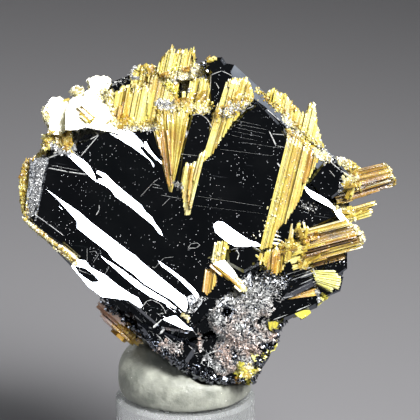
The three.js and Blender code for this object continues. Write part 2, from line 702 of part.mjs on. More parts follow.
// The sprays on the back, along the three directions of the crystals
const BACK_SPRAYS = {
  rutile_back_steep: { from: [1.4, -2.6], angle: STEEP_DEG, length: 12.5, breadth: 1.5, seed: 41 },
  rutile_back_shallow: { from: [-0.9, -0.4], angle: SHALLOW_DEG + 180, length: 8.5, breadth: 1.3, seed: 43 },
  rutile_back_falling: { from: [2.9, 0.2], angle: FALLING_DEG, length: 7.5, breadth: 1.1, seed: 47 },
};

function backSpray({ from, angle, length, breadth, seed }) {
  const along = [Math.cos(radians(angle)), Math.sin(radians(angle))];
  const at = (far, side) => [
    from[0] + along[0] * far - along[1] * side,
    from[1] + along[1] * far + along[0] * side,
  ];
  return {
    roots: [at(0, -0.5), at(0, 0.5)],
    tips: [
      at(length * 0.74, -breadth),
      at(length * 0.95, -breadth / 2),
      at(length, 0),
      at(length * 0.84, breadth / 2),
      at(length * 0.9, breadth),
    ],
    back: -8,
    front: -4.9,
    rods: 6,
    ragged: 0.1,
    seed,
  };
}

// Stand

function displayRod() {
  const r = ROD_DIAMETER / 2;
  const c = ROD_CHAMFER;
  const profile = [[0, 0], [r - c, 0], [r, c], [r, ROD_HEIGHT - c], [r - c, ROD_HEIGHT], [0, ROD_HEIGHT]];
  return new THREE.LatheGeometry(profile.map(([x, y]) => new THREE.Vector2(x, y)), 48).rotateX(Math.PI / 2);
}

// The tack: a pressed lump, higher at the back and on the left, that covers the rod's top
const TACK_RADIUS = 6.25;
const TACK_RINGS = 9;
const TACK_STEPS = 28;

function tackHeight(x, y) {
  const edge = Math.sqrt(Math.max(0, 1 - (x * x + y * y) / (TACK_RADIUS * TACK_RADIUS)));
  const leftLobe = 1.4 * Math.exp(-((x + 4.6) ** 2 + (y + 0.2) ** 2) / 7);
  const backLobe = 1.1 * Math.exp(-(x ** 2 + (y - 2.8) ** 2) / 12);
  const dents = 0.12 * Math.sin(2.1 * x + 1.3 * y) + 0.1 * Math.sin(3.4 * y - x);
  return 0.5 + Math.pow(edge, 0.42) * (3.6 + leftLobe + backLobe + dents);
}

function tackGeometry() {
  const positions = [];
  const index = [];
  const foot = ROD_HEIGHT + GAP;
  const ring = (i) => 1 + i * TACK_STEPS;
  positions.push(0, 0, foot + tackHeight(0, 0));
  for (let i = 1; i <= TACK_RINGS; i++) {
    const radius = TACK_RADIUS * Math.sin((i / TACK_RINGS) * (Math.PI / 2));
    for (let k = 0; k < TACK_STEPS; k++) {
      const angle = (k / TACK_STEPS) * 2 * Math.PI;
      const x = radius * Math.cos(angle);
      const y = radius * Math.sin(angle);
      positions.push(x, y, foot + tackHeight(x * 0.999, y * 0.999));
    }
  }
  for (let k = 0; k < TACK_STEPS; k++) {
    const angle = (k / TACK_STEPS) * 2 * Math.PI;
    positions.push(0.97 * TACK_RADIUS * Math.cos(angle), 0.97 * TACK_RADIUS * Math.sin(angle), foot);
  }
  const footCentre = positions.length / 3;
  positions.push(0, 0, foot);
  for (let k = 0; k < TACK_STEPS; k++) {
    const next = (k + 1) % TACK_STEPS;
    index.push(0, ring(0) + k, ring(0) + next);
    for (let i = 0; i < TACK_RINGS; i++) {
      index.push(ring(i) + k, ring(i + 1) + k, ring(i + 1) + next);
      index.push(ring(i) + k, ring(i + 1) + next, ring(i) + next);
    }
    index.push(footCentre, ring(TACK_RINGS) + next, ring(TACK_RINGS) + k);
  }
  const geometry = new THREE.BufferGeometry();
  geometry.setAttribute("position", new THREE.Float32BufferAttribute(positions, 3));
  geometry.setIndex(index);
  return geometry;
}

// Assembly

const MATERIALS = {
  hematite: new THREE.MeshStandardMaterial({ color: 0x15161a, roughness: 0.12, metalness: 0.9 }),
  druse: new THREE.MeshStandardMaterial({ color: 0x5d5a5e, roughness: 0.4, metalness: 0.7 }),
  rutile: new THREE.MeshStandardMaterial({ color: 0xd9a53a, roughness: 0.35, metalness: 0.3 }),
  tack: new THREE.MeshStandardMaterial({ color: 0xb9bbb2, roughness: 0.6, metalness: 0 }),
  rod: new THREE.MeshStandardMaterial({
    color: 0xdfe4e6,
    roughness: 0.1,
    metalness: 0,
    transparent: true,
    opacity: 0.4,
  }),
};

function namedMesh(name, geometry, material) {
  const mesh = new THREE.Mesh(geometry, material);
  mesh.name = name;
  return mesh;
}

const specimen = new THREE.Group();
specimen.rotation.x = radians(90 - LEAN_BACK_DEG);
const rodTop = new THREE.Vector3(...ROD_TOP).applyEuler(specimen.rotation);
specimen.position.set(0, 0, ROD_HEIGHT).sub(rodTop);
specimen.updateMatrixWorld(true);

// Each piece is cut back from those before it, which leaves GAP between them
const cutters = [];
function addPiece(name, build, material) {
  specimen.add(namedMesh(name, geometryOf(cutBy(build(0), cutters)), material));
  cutters.push(build(GAP));
}

addPiece("hematite_crystal", hematite, MATERIALS.hematite);
for (const [name, sprays] of Object.entries(RUTILE_SPRAYS)) {
  addPiece(name, (grow) => joined(sprays.map((shape) => spray(shape, grow))), MATERIALS.rutile);
}
for (const [name, rods] of Object.entries(RUTILE_RODS)) {
  addPiece(name, (grow) => joined(rods.map((shape) => rod(shape, grow))), MATERIALS.rutile);
}
for (const [name, shape] of Object.entries(BACK_SPRAYS)) {
  addPiece(name, (grow) => spray(backSpray(shape), grow), MATERIALS.rutile);
}
SHARDS.forEach((shape, i) => {
  addPiece(`rutile_shard_${i + 1}`, (grow) => rod(shape, grow), MATERIALS.rutile);
});
addPiece("hematite_druse", druse, MATERIALS.druse);

// The tack stands upright on the rod, and takes the print of the leaning specimen
const leaningTack = solidOf(tackGeometry().applyMatrix4(specimen.matrixWorld.clone().invert()));
specimen.add(namedMesh("mineral_tack", geometryOf(cutBy(leaningTack, cutters)), MATERIALS.tack));

const object = new THREE.Group();
object.add(specimen);
object.add(namedMesh("display_rod", displayRod(), MATERIALS.rod));

export default object;
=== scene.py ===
import math
import random

import bpy
from mathutils import Matrix, Vector, noise
from mathutils.bvhtree import BVHTree


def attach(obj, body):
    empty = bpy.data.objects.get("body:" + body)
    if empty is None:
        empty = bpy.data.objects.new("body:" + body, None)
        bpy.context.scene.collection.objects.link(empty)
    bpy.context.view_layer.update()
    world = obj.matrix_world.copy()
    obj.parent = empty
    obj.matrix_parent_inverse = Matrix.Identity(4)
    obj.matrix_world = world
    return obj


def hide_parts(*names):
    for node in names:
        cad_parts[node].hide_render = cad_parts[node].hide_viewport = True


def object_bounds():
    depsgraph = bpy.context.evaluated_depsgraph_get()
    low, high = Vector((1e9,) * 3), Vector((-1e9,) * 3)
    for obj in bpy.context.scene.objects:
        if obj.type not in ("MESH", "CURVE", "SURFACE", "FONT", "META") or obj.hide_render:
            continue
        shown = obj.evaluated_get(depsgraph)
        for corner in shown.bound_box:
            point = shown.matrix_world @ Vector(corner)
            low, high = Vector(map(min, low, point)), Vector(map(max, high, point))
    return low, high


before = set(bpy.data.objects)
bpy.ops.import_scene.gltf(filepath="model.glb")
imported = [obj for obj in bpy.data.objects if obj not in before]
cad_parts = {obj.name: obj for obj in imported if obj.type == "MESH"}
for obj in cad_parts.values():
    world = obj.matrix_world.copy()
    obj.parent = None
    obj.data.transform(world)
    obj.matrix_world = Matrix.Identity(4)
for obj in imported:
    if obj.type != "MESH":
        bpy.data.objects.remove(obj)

CAD_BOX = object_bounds()

# The specimen's own frame, in millimetres: u to the right, v up along the tablet, w out of its front face
MM = 0.001
SPECIMEN_TURN = math.radians(72)
SPECIMEN_ORIGIN = Vector((1.35, 0.309, 30.514)) * MM
TURNED = Matrix.Rotation(SPECIMEN_TURN, 4, "X")
TO_WORLD = Matrix.Translation(SPECIMEN_ORIGIN) @ TURNED @ Matrix.Scale(MM, 4)
FROM_WORLD = TO_WORLD.inverted()

STEEP, SHALLOW, FALLING = 77, 18, -42  # the directions of the crystals, in degrees from u
KEY_FACING, KEY_TILT = 48, 18  # facets turned this way mirror the key light into the camera
PLATE_LEVEL = 4.0  # w of the large black plate

# The photograph's view, straight at the tablet's face
IMAGE_PX = 420
MM_PER_PX = 0.09
VIEW_DISTANCE = 350.0
VIEW_CENTRE = (0.9, 1.8)
SENSOR_MM = 36
NEAREST, FURTHEST = 0.01, 20  # what the camera shows, in metres


def seen(x, y, w):
    """The point [u, v, w] that the photograph shows at pixel x, y, at the level w."""
    shrink = MM_PER_PX * (VIEW_DISTANCE - w) / VIEW_DISTANCE
    right, down = x - IMAGE_PX / 2, y - IMAGE_PX / 2
    return Vector((VIEW_CENTRE[0] + right * shrink, VIEW_CENTRE[1] - down * shrink, w))


def number(word):
    return float(word) if "." in word else int(word)


def pairs(text):
    """The pairs of numbers that a text such as 12,30 14.5,32 lists."""
    return [tuple(number(word) for word in pair.split(",")) for pair in text.split()]


def table(text):
    """The rows of a table. A row is some numbers, a colon and pairs, which may run on in the next line."""
    rows = []
    for line in text.strip().splitlines():
        numbers, colon, rest = line.rpartition(":")
        if colon:
            rows.append(([number(word) for word in numbers.split()], []))
        rows[-1][1].extend(pairs(rest))
    return rows


def heading(angle):
    """How far right and up one step goes, at an angle in degrees from u."""
    turn = math.radians(angle)
    return math.cos(turn), math.sin(turn)


def put_in_scene(name, data):
    made = bpy.data.objects.new(name, data)
    bpy.context.collection.objects.link(made)
    return made


def make_camera():
    data = bpy.data.cameras.new("camera")
    data.sensor_width = SENSOR_MM
    data.lens = SENSOR_MM * VIEW_DISTANCE / (IMAGE_PX * MM_PER_PX)
    data.clip_start, data.clip_end = NEAREST, FURTHEST
    camera = put_in_scene("camera", data)
    camera.matrix_world = Matrix.Translation(TO_WORLD @ Vector((*VIEW_CENTRE, VIEW_DISTANCE))) @ TURNED
    bpy.context.scene.camera = camera


make_camera()


# Light

LIGHT_TARGET = Vector((1, 1, 0))  # in the specimen's frame
# Softboxes: name, direction, distance and size (m), watts, spread (degrees), colour
SOFTBOXES = [
    ("key", (0.393, -0.634, 0.666), 0.36, 0.15, 0.32, 50, (1, 1, 1)),
    ("fill_left", (-0.85, -0.35, 0.40), 0.45, 0.26, 0.06, 50, (0.93, 0.96, 1.0)),
    ("top_back", (0.62, 0.42, 0.66), 0.45, 0.34, 0.05, 60, (0.92, 0.96, 1.0)),
    ("back_left", (-0.5, 0.75, 0.45), 0.45, 0.20, 0.02, 30, (1, 1, 1)),
]
WORLD_COLOUR, WORLD_STRENGTH = (0.9, 0.95, 1.0, 1), 0.035


def make_light():
    for name, direction, distance, size, watts, spread, colour in SOFTBOXES:
        data = bpy.data.lights.new(name, "AREA")
        data.shape = "SQUARE"
        data.size = size
        data.energy = watts
        data.spread = math.radians(spread)
        data.color = colour
        light = put_in_scene(name, data)
        towards = Vector(direction).normalized()
        light.location = TO_WORLD @ LIGHT_TARGET + towards * distance
        light.rotation_mode = "QUATERNION"
        light.rotation_quaternion = towards.to_track_quat("Z", "Y")
        light.visible_camera = False
    world = bpy.data.worlds.new("world")
    world.use_nodes = True
    background = world.node_tree.nodes["Background"]
    background.inputs["Color"].default_value = WORLD_COLOUR
    background.inputs["Strength"].default_value = WORLD_STRENGTH
    bpy.context.scene.world = world
    bpy.context.scene.view_settings.view_transform = "Standard"


make_light()


# Materials

def tone(hex_colour):
    """A colour as linear RGBA from its sRGB hex."""
    parts = [int(hex_colour[i:i + 2], 16) / 255 for i in (1, 3, 5)]
    return tuple(x / 12.92 if x <= 0.04045 else ((x + 0.055) / 1.055) ** 2.4 for x in parts) + (1.0,)


class Shader:
    """A material whose nodes are made with short calls."""

    def __init__(self, name):
        self.material = bpy.data.materials.new(name)
        self.material.use_nodes = True
        self.tree = self.material.node_tree
        self.tree.nodes.clear()
        self.surface = self.tree.nodes.new("ShaderNodeBsdfPrincipled")
        output = self.tree.nodes.new("ShaderNodeOutputMaterial")
        self.tree.links.new(self.surface.outputs[0], output.inputs["Surface"])

    def put(self, value, socket):
        if isinstance(value, bpy.types.NodeSocket):
            self.tree.links.new(value, socket)
        else:
            socket.default_value = value

    def node(self, kind, inputs=None, **settings):
        made = self.tree.nodes.new(kind)
        for key, value in settings.items():
            setattr(made, key, value)
        for key, value in (inputs or {}).items():
            self.put(value, made.inputs[key])
        return made

    def set(self, **inputs):
        """Sets the shader's own sockets. A plain value goes straight on the socket."""
        for key, value in inputs.items():
            self.put(value, self.surface.inputs[key.replace("_", " ")])

    def specimen_mm(self):
        """The place on the object in the specimen's frame, in millimetres."""
        place = self.node("ShaderNodeTexCoord").outputs["Object"]
        mapping = self.node("ShaderNodeMapping", {"Vector": place}, vector_type="TEXTURE")
        mapping.inputs["Location"].default_value = SPECIMEN_ORIGIN
        mapping.inputs["Rotation"].default_value = (SPECIMEN_TURN, 0, 0)
        mapping.inputs["Scale"].default_value = (MM, MM, MM)
        return mapping.outputs[0]

    def stretched(self, vector, scale, turn=0.0):
        turned = self.node("ShaderNodeMapping", {"Vector": vector})
        turned.inputs["Rotation"].default_value = (0, 0, -math.radians(turn))
        scaled = self.node("ShaderNodeMapping", {"Vector": turned.outputs[0]})
        scaled.inputs["Scale"].default_value = scale
        return scaled.outputs[0]

    def noise(self, vector, scale=1.0, detail=3.0, roughness=0.55):
        inputs = {"Vector": vector, "Scale": scale, "Detail": detail, "Roughness": roughness}
        return self.node("ShaderNodeTexNoise", inputs).outputs["Fac"]

    def math(self, operation, a, b=0.0, c=0.0):
        return self.node("ShaderNodeMath", {0: a, 1: b, 2: c}, operation=operation).outputs[0]

    def span(self, value, low, high, to_low=0.0, to_high=1.0):
        inputs = {"Value": value, "From Min": low, "From Max": high, "To Min": to_low, "To Max": to_high}
        return self.node("ShaderNodeMapRange", inputs, clamp=True).outputs[0]

    def ramp(self, value, stops):
        made = self.node("ShaderNodeValToRGB", {"Fac": value})
        elements = made.color_ramp.elements
        while len(elements) < len(stops):
            elements.new(0.5)
        for element, (position, colour) in zip(elements, stops):
            element.position = position
            element.color = tone(colour)
        return made.outputs["Color"]

    def mix(self, share, a, b):
        made = self.node("ShaderNodeMix", data_type="RGBA")
        for value, socket in ((share, made.inputs[0]), (a, made.inputs[6]), (b, made.inputs[7])):
            self.put(value, socket)
        return made.outputs[2]

    def bump(self, height, distance_mm, strength=1.0):
        inputs = {"Height": height, "Distance": distance_mm * MM, "Strength": strength}
        return self.node("ShaderNodeBump", inputs).outputs[0]

    def specks(self, vector, scale, size, share):
        """1 in small round grains strewn over the surface, else 0."""
        cells = self.node("ShaderNodeTexVoronoi", {"Vector": vector, "Scale": scale})
        near = self.math("LESS_THAN", cells.outputs["Distance"], size)
        chance = self.node("ShaderNodeSeparateColor", {"Color": cells.outputs["Color"]}).outputs[0]
        return self.math("MULTIPLY", near, self.math("LESS_THAN", chance, share))


def hematite_material():
    """Black mirror faces with patches of dust and fine etched lines."""
    s = Shader("hematite")
    mm = s.specimen_mm()
    patches = s.noise(mm, 0.35, 4)
    dust = s.math("MAXIMUM", s.specks(mm, 5.5, 0.17, 0.4), s.specks(mm, 1.9, 0.06, 0.4))
    dust = s.math("MULTIPLY", dust, s.span(s.noise(mm, 0.5, 3), 0.42, 0.56))
    etched = s.noise(s.stretched(mm, (0.25, 14, 0.25), -8), 1.0, 2)
    lines = s.math("MULTIPLY", s.span(etched, 0.66, 0.70), s.span(s.noise(mm, 0.22, 2), 0.5, 0.6))
    colour = s.ramp(patches, [(0.35, "#6f737b"), (0.62, "#83868c")])
    rough = s.math("ADD", s.span(patches, 0.35, 0.75, 0.03, 0.09), s.math("MULTIPLY", lines, 0.22))
    fine = s.noise(s.stretched(mm, (0.6, 9, 0.6), FALLING), 1.0, 3)
    s.set(
        Base_Color=s.mix(dust, colour, tone("#c6c8cc")),
        Metallic=s.math("SUBTRACT", 1.0, dust),
        Roughness=s.math("MAXIMUM", rough, s.math("MULTIPLY", dust, 0.6)),
        Normal=s.bump(fine, 0.0016, 0.6),
    )
    return s.material


def etched_and_glint_material():
    """Hematite with a fine frosting, near-white so that it shows bright in any light: partly painted
    highlight on the raised lines and bright step edges.
    """
    s = Shader("hematite_etched_and_glint")
    grain = s.noise(s.specimen_mm(), 6.0, 3)
    colour = s.ramp(grain, [(0.35, "#b4b5b6"), (0.65, "#f4f4f0")])
    s.set(Base_Color=colour, Metallic=0.15, Roughness=s.span(grain, 0.3, 0.7, 0.25, 0.5))
    return s.material


def silver_material(name, metallic, dark, middle, light, scale=2.4, contrast=0.2):
    """Rough hematite: the crust and the grains of the rims, pinkish towards the foot."""
    s = Shader(name)
    mm = s.specimen_mm()
    grain = s.noise(mm, scale, 5, 0.7)
    stops = (0.5 - contrast, 0.5 - contrast * 0.1, 0.5 + contrast)
    grey = s.ramp(grain, list(zip(stops, (dark, middle, light))))
    pink = s.ramp(grain, list(zip(stops, ("#86736a", "#bca79c", "#f0e4dc"))))
    height = s.node("ShaderNodeSeparateXYZ", {"Vector": mm}).outputs["Y"]
    lower = s.math("MULTIPLY", s.span(height, -5.5, -9.5), s.span(s.noise(mm, 0.7, 2), 0.42, 0.6))
    s.set(
        Base_Color=s.mix(lower, grey, pink),
        Metallic=metallic,
        Roughness=s.span(s.noise(mm, 5.0, 2), 0.35, 0.65, 0.22, 0.5),
        Normal=s.bump(s.noise(mm, 8.0, 3), 0.05, 0.8),
    )
    return s.material


def rutile_material(name, stops, pale_tips, warmth=0.0):
    """Golden crystal, streaked along its length. The attribute grain holds across and along (mm) and the
    tint, and warmth is how far patches of it turn orange-brown."""
    s = Shader(name)
    mm = s.specimen_mm()
    grain = s.node("ShaderNodeAttribute", attribute_name="grain").outputs["Vector"]
    reach = s.node("ShaderNodeAttribute", attribute_name="reach").outputs["Fac"]
    tint = s.node("ShaderNodeSeparateXYZ", {"Vector": grain}).outputs["Z"]
    shifted = {0: grain, 1: (10.0, 0.7, 40.0)}
    streaks = s.noise(s.node("ShaderNodeVectorMath", shifted, operation="MULTIPLY").outputs[0], 1.0, 4, 0.6)
    grit = s.noise(mm, 6.5, 2)
    shade = s.math("MULTIPLY", tint, 0.60)
    for more in (
        s.span(streaks, 0.3, 0.7, 0.0, 0.32),
        s.span(s.noise(mm, 0.55, 3), 0.3, 0.7, -0.12, 0.12),
        s.span(grit, 0.3, 0.7, -0.10, 0.10),
        s.span(reach, 0.80, 1.0, 0.0, pale_tips),
    ):
        shade = s.math("ADD", shade, more)
    warm = s.span(s.noise(mm, 0.42, 2), 0.50, 0.64, 0.0, warmth)
    colour = s.mix(warm, s.ramp(shade, stops), tone("#a06c18"))
    # The small near-white specks mixed into the base colour are painted glints: a painted sparkle on the
    # crystal.
    s.set(
        Base_Color=s.mix(s.specks(mm, 3.4, 0.16, 0.12), colour, tone("#fff9e4")),
        Roughness=s.span(streaks, 0.3, 0.7, 0.42, 0.22),
        IOR=2.3,
        Subsurface_Weight=0.15,
        Subsurface_Radius=(1.0, 0.9, 0.5),
        Subsurface_Scale=0.35 * MM,
        Normal=s.bump(s.math("ADD", streaks, grit), 0.025, 0.8),
    )
    return s.material


def tack_material():
    """Grey-white putty, cloudy and finely dented."""
    s = Shader("mineral_tack")
    mm = s.specimen_mm()
    colour = s.ramp(s.noise(mm, 0.5, 4), [(0.32, "#7d8077"), (0.52, "#94968c"), (0.72, "#aeb0a4")])
    height = s.math("ADD", s.noise(mm, 1.1, 4), s.math("MULTIPLY", s.noise(mm, 6.0, 2), 0.15))
    # The small near-white specks mixed into the base colour are painted glints on the putty.
    s.set(
        Base_Color=s.mix(s.specks(mm, 2.6, 0.14, 0.08), colour, tone("#f2f2ea")),
        Roughness=s.span(s.noise(mm, 2.0, 3), 0.35, 0.65, 0.34, 0.58),
        Subsurface_Weight=0.3,
        Subsurface_Radius=(1.0, 1.0, 0.85),
        Subsurface_Scale=1.0 * MM,
        Normal=s.bump(height, 0.25, 0.6),
    )
    return s.material


def rod_material():
    """Clear acrylic with light scuffs."""
    s = Shader("display_rod")
    scuffs = s.noise(s.stretched(s.specimen_mm(), (1.2, 0.25, 1.2)), 2.0, 4)
    rough = s.span(scuffs, 0.4, 0.75, 0.12, 0.34)
    s.set(Base_Color=tone("#f4f7f6"), Transmission_Weight=0.8, IOR=1.49, Roughness=rough)
    return s.material


def floor_material():
    s = Shader("floor")
    place = s.node("ShaderNodeTexCoord").outputs["Object"]
    colour = s.ramp(s.noise(place, 3.0, 2), [(0.3, "#828183"), (0.7, "#888789")])
    s.set(Base_Color=colour, Roughness=0.9, Specular_IOR_Level=0.2)
    return s.material


HEMATITE = hematite_material()
ETCHED_AND_GLINT = etched_and_glint_material()
SILVER = silver_material("hematite_grains", 0.7, "#77787b", "#b6b7b8", "#f2f2f0")
DRUSE = silver_material("hematite_druse", 0.45, "#6a6c6e", "#b0b1b0", "#f8f8f5", 3.5)
FROST = silver_material("hematite_frost", 0.35, "#1c1e22", "#5c6066", "#f4f6f8", 5.0, 0.13)
GOLD = rutile_material("rutile_gold", [
    (0.04, "#4a360a"), (0.22, "#8c6c12"), (0.42, "#b99e2e"),
    (0.60, "#cfc056"), (0.80, "#dfd992"), (1.0, "#f4f3de"),
], 0.05, 0.4)
PALE = rutile_material("rutile_pale", [
    (0.12, "#988448"), (0.34, "#c8c084"), (0.58, "#e6e0b8"), (0.85, "#fcfcf2"),
], 0.1)
AMBER = rutile_material("rutile_amber", [
    (0.06, "#442a08"), (0.26, "#8a6006"), (0.48, "#b98a18"), (0.72, "#d0b044"), (0.95, "#ecdc98"),
], 0.15)
YELLOW = rutile_material("rutile_yellow", [
    (0.10, "#6a6010"), (0.34, "#bcb026"), (0.60, "#dcd44c"), (0.95, "#f6f4b4"),
], 0.15)
PEACH = rutile_material("rutile_peach", [
    (0.10, "#b88868"), (0.32, "#dcb49c"), (0.56, "#ecd2c4"), (0.88, "#faf0e8"),
], 0.1)


# Floor

FLOOR_HALF = 4.0  # metres


def make_floor():
    half = FLOOR_HALF
    corners = [(-half, -half, 0), (half, -half, 0), (half, half, 0), (-half, half, 0)]
    mesh = bpy.data.meshes.new("floor")
    mesh.from_pydata(corners, [], [(0, 1, 2, 3)])
    mesh.materials.append(floor_material())
    floor = put_in_scene("floor", mesh)


make_floor()


# Mesh building

def lerp(a, b, share):
    return a + (b - a) * share


def tube_faces(rings, sides):
    """The faces of a closed tube of rings of points, with flat ends."""
    last = (rings - 1) * sides
    faces = [list(range(sides))[::-1], [last + i for i in range(sides)]]
    for k in range(rings - 1):
        for i in range(sides):
            j = (i + 1) % sides
            faces.append([k * sides + i, k * sides + j, (k + 1) * sides + j, (k + 1) * sides + i])
    return faces


def scatter(rng, spread):
    return Vector([rng.gauss(0, spread) for _ in range(3)])


class Solid:
    """Closed bodies gathered into one mesh. Every point has a grain (across, along, tint) and a reach from
    0 at the root to 1 at the tip."""
    made = []

    def __init__(self):
        self.points, self.faces, self.grain, self.reach = [], [], [], []

    def add(self, points, faces, grain=None, reach=None, tint=0.5):
        first = len(self.points)
        self.points += points
        self.faces += [[first + i for i in face] for face in faces]
        self.grain += grain or [(p[0], p[1], tint) for p in points]
        self.reach += reach or [0.5] * len(points)

    def finish(self, name, material, slot, nodes=(), smooth=False):
        """Makes the piece, kept within the CAD's box, in place of the CAD nodes that are named."""
        Solid.made.append((self.points, self.faces))
        low, high = CAD_BOX
        places = []
        for point in self.points:
            p = TO_WORLD @ Vector(point)
            places.append([min(max(p[k], low[k]), high[k]) for k in range(3)])
        mesh = bpy.data.meshes.new(name)
        mesh.from_pydata(places, [], self.faces)
        grain = [x for g in self.grain for x in g]
        mesh.attributes.new("grain", "FLOAT_VECTOR", "POINT").data.foreach_set("vector", grain)
        mesh.attributes.new("reach", "FLOAT", "POINT").data.foreach_set("value", self.reach)
        mesh.materials.append(material)
        if smooth:
            mesh.shade_smooth()
        else:
            mesh.shade_flat()
        mesh.validate()
        piece = put_in_scene(name, mesh)
        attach(piece, "root")
        if nodes:
            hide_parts(*nodes)


def axes_of(root, tip):
    """A crystal's directions along, across and out of its front, and its length."""
    along = (tip - root).normalized()
    across = Vector((0, 0, 1)).cross(along).normalized()
    return along, across, along.cross(across), (tip - root).length


def needle(solid, root, tip, width, depth, rng, tint, root_scale=0.85, lean=None, sway=0.2):
    """One striated crystal from root to tip, with a flat front and a slanting broken end."""
    along, across, out, length = axes_of(root, tip)
    flat = rng.uniform(0.28, 0.44)
    slope = rng.gauss(0, sway) if lean is None else rng.gauss(lean, 0.02)
    corners = [(0.5, 0), (flat, 0.5), (-flat, 0.5), (-0.5, 0), (-flat, -0.5), (flat, -0.5)]
    ring = [(a * width, b * depth + slope * a * width * (b != 0)) for a, b in corners]
    slant = (rng.uniform(-1.2, 1.2), rng.uniform(-0.4, 0.4))
    worn = rng.uniform(0.55, 0.95)
    stations = [(0.0, root_scale), (0.45, lerp(root_scale, 1, 0.5)), (0.9, 1.0), (1.0, worn)]
    points, grain, reaches = [], [], []
    start = rng.uniform(0, 50)
    for k, (share, scale) in enumerate(stations):
        for a, b in ring:
            slip = (a * slant[0] + b * slant[1]) * 0.5 if k >= 2 else 0
            far = share * length + slip
            points.append(root + along * far + across * (a * scale) + out * (b * scale))
            grain.append((start + a, start + far, tint))
            reaches.append(share)
    solid.add(points, tube_faces(len(stations), len(ring)), grain, reaches)


def bundle(solid, root, tip, root_width, width, depth, rng, tint, strand=0.16, ragged=0.05, loose=0.16):
    """A rod or blade of strands side by side, with a ragged end."""
    root, tip = Vector(root), Vector(tip)
    along, across, out, length = axes_of(root, tip)
    strands = max(2, round(width / strand))
    narrowing = min(1.0, max(0.15, root_width / width))
    for i in range(strands):
        side = (i + 0.5) / strands - 0.5 + rng.uniform(-0.2, 0.2) / strands
        lift = rng.uniform(-loose, loose) * depth
        start = root + across * (side * root_width) + out * lift
        end = tip + across * (side * width) + out * lift - along * (ragged * length * rng.random())
        thick = width / strands * rng.uniform(1.15, 1.7)
        shade = tint + rng.uniform(-0.14, 0.14)
        needle(solid, start, end, thick, depth * rng.uniform(0.65, 0.95), rng, shade, narrowing)


def along_line(line, share):
    """The place at a share of a line's points, which count as evenly spaced."""
    place = min(max(share, 0.0), 0.9999) * (len(line) - 1)
    i = int(place)
    return [lerp(a, b, place - i) for a, b in zip(line[i], line[i + 1])]


def path_length(line):
    return sum(math.dist(a, b) for a, b in zip(line, line[1:]))


ROD_OVERLAP = 1.25  # how much wider a rod of a spray is than its place in the row
STEP_BACK = 0.08  # how much shorter the front layer's rods may be, as a share
ROD_RAGGED = 0.03


def spray(solid, roots, tips, back, front, rods, rng, layers=3, ragged=0.10, tints=(0.2, 0.9), strand=0.15):
    """A row of fused rods, in layers from back to front, from a line of roots to a line of tips."""
    for layer in range(layers):
        forward = (layer + 0.5) / layers
        for i in range(rods):
            share = (i + 0.5 + rng.uniform(-0.3, 0.3)) / rods
            root, tip = along_line(roots, share), along_line(tips, share)
            reach = 1 - ragged * rng.random() - STEP_BACK * forward * rng.random()
            tip = [lerp(a, b, reach) for a, b in zip(root, tip)]
            level = lerp(back, front, forward) + rng.uniform(-0.1, 0.1)
            wide = ROD_OVERLAP * path_length(tips) / rods
            narrow = max(0.10, ROD_OVERLAP * path_length(roots) / rods)
            thick = (front - back) / layers * rng.uniform(0.9, 1.25)
            ends = (*root, level), (*tip, level)
            bundle(solid, *ends, narrow, wide, thick, rng, rng.uniform(*tints), strand, ROD_RAGGED)


def jagged(outline, amount, rng, step=0.4):
    """The outline with small teeth along its edges."""
    made = []
    for p, q in zip(outline, outline[1:] + outline[:1]):
        count = max(1, round(math.dist(p, q) / step))
        for i in range(count):
            stray = amount if i else amount * 0.3
            made.append(tuple(lerp(a, b, i / count) + rng.uniform(-stray, stray) for a, b in zip(p, q)))
    return made


def crossing(outline, place, along, across):
    """Where the line at place across meets the outline: its lowest and highest point along."""
    hits = []
    for p, q in zip(outline, outline[1:] + outline[:1]):
        before, after = p.dot(across) - place, q.dot(across) - place
        if before * after < 0:
            hits.append(lerp(p.dot(along), q.dot(along), before / (before - after)))
    return (min(hits), max(hits)) if len(hits) > 1 else (0, 0)


def fill(solid, outline, angle, back, front, rng, strand=0.16, layers=3, bars=(1, 4), ragged=0.5,
         root_ragged=0.12, tints=(0.25, 0.9), slope=(0, 0), lean=None, gaps=0.0, sway=0.2):
    """Parallel strands in bars of several, cut to an outline of pixels, in layers from back to front. slope
    is the way that the whole face turns and by how much, in degrees."""
    right, up = heading(angle)
    along, across = Vector((right, up, 0)), Vector((-up, right, 0))
    thick = (front - back) / layers
    facing, tilt = slope
    downhill = Vector((*heading(facing), 0))
    steep = math.tan(math.radians(tilt))
    for layer in range(layers):
        level = lerp(back, front, (layer + 0.5) / layers)
        ring = [seen(x, y, level) for x, y in outline]
        reach = [p.dot(across) for p in ring]
        lowest = max(p.dot(downhill) for p in ring)
        place, end = min(reach) + strand * 0.5, max(reach)
        while place < end:
            cut = ragged * rng.random() * (0.4 + 0.6 * layer / layers)
            lift = rng.uniform(-0.4, 0.4) * thick
            tint = rng.uniform(*tints)
            for _ in range(rng.randint(*bars)):
                low, high = crossing(ring, place, along, across)
                low += rng.uniform(-1, 1) * root_ragged
                high -= cut + 0.35 * ragged * rng.random()
                if high - low > 0.3:
                    root, tip = (across * place + along * low), (across * place + along * high)
                    root.z = level + lift + steep * (lowest - root.dot(downhill))
                    tip.z = level + lift + steep * (lowest - tip.dot(downhill))
                    width = strand * rng.uniform(1.1, 1.7)
                    depth = thick * rng.uniform(0.9, 1.3)
                    shade = tint + rng.uniform(-0.12, 0.12)
                    needle(solid, root, tip, width, depth, rng, shade, 1.0, lean, sway)
                place += strand * rng.uniform(0.8, 1.2)
            place += strand * (1.2 * (rng.random() < gaps) + 0.4 * (rng.random() < 0.3))


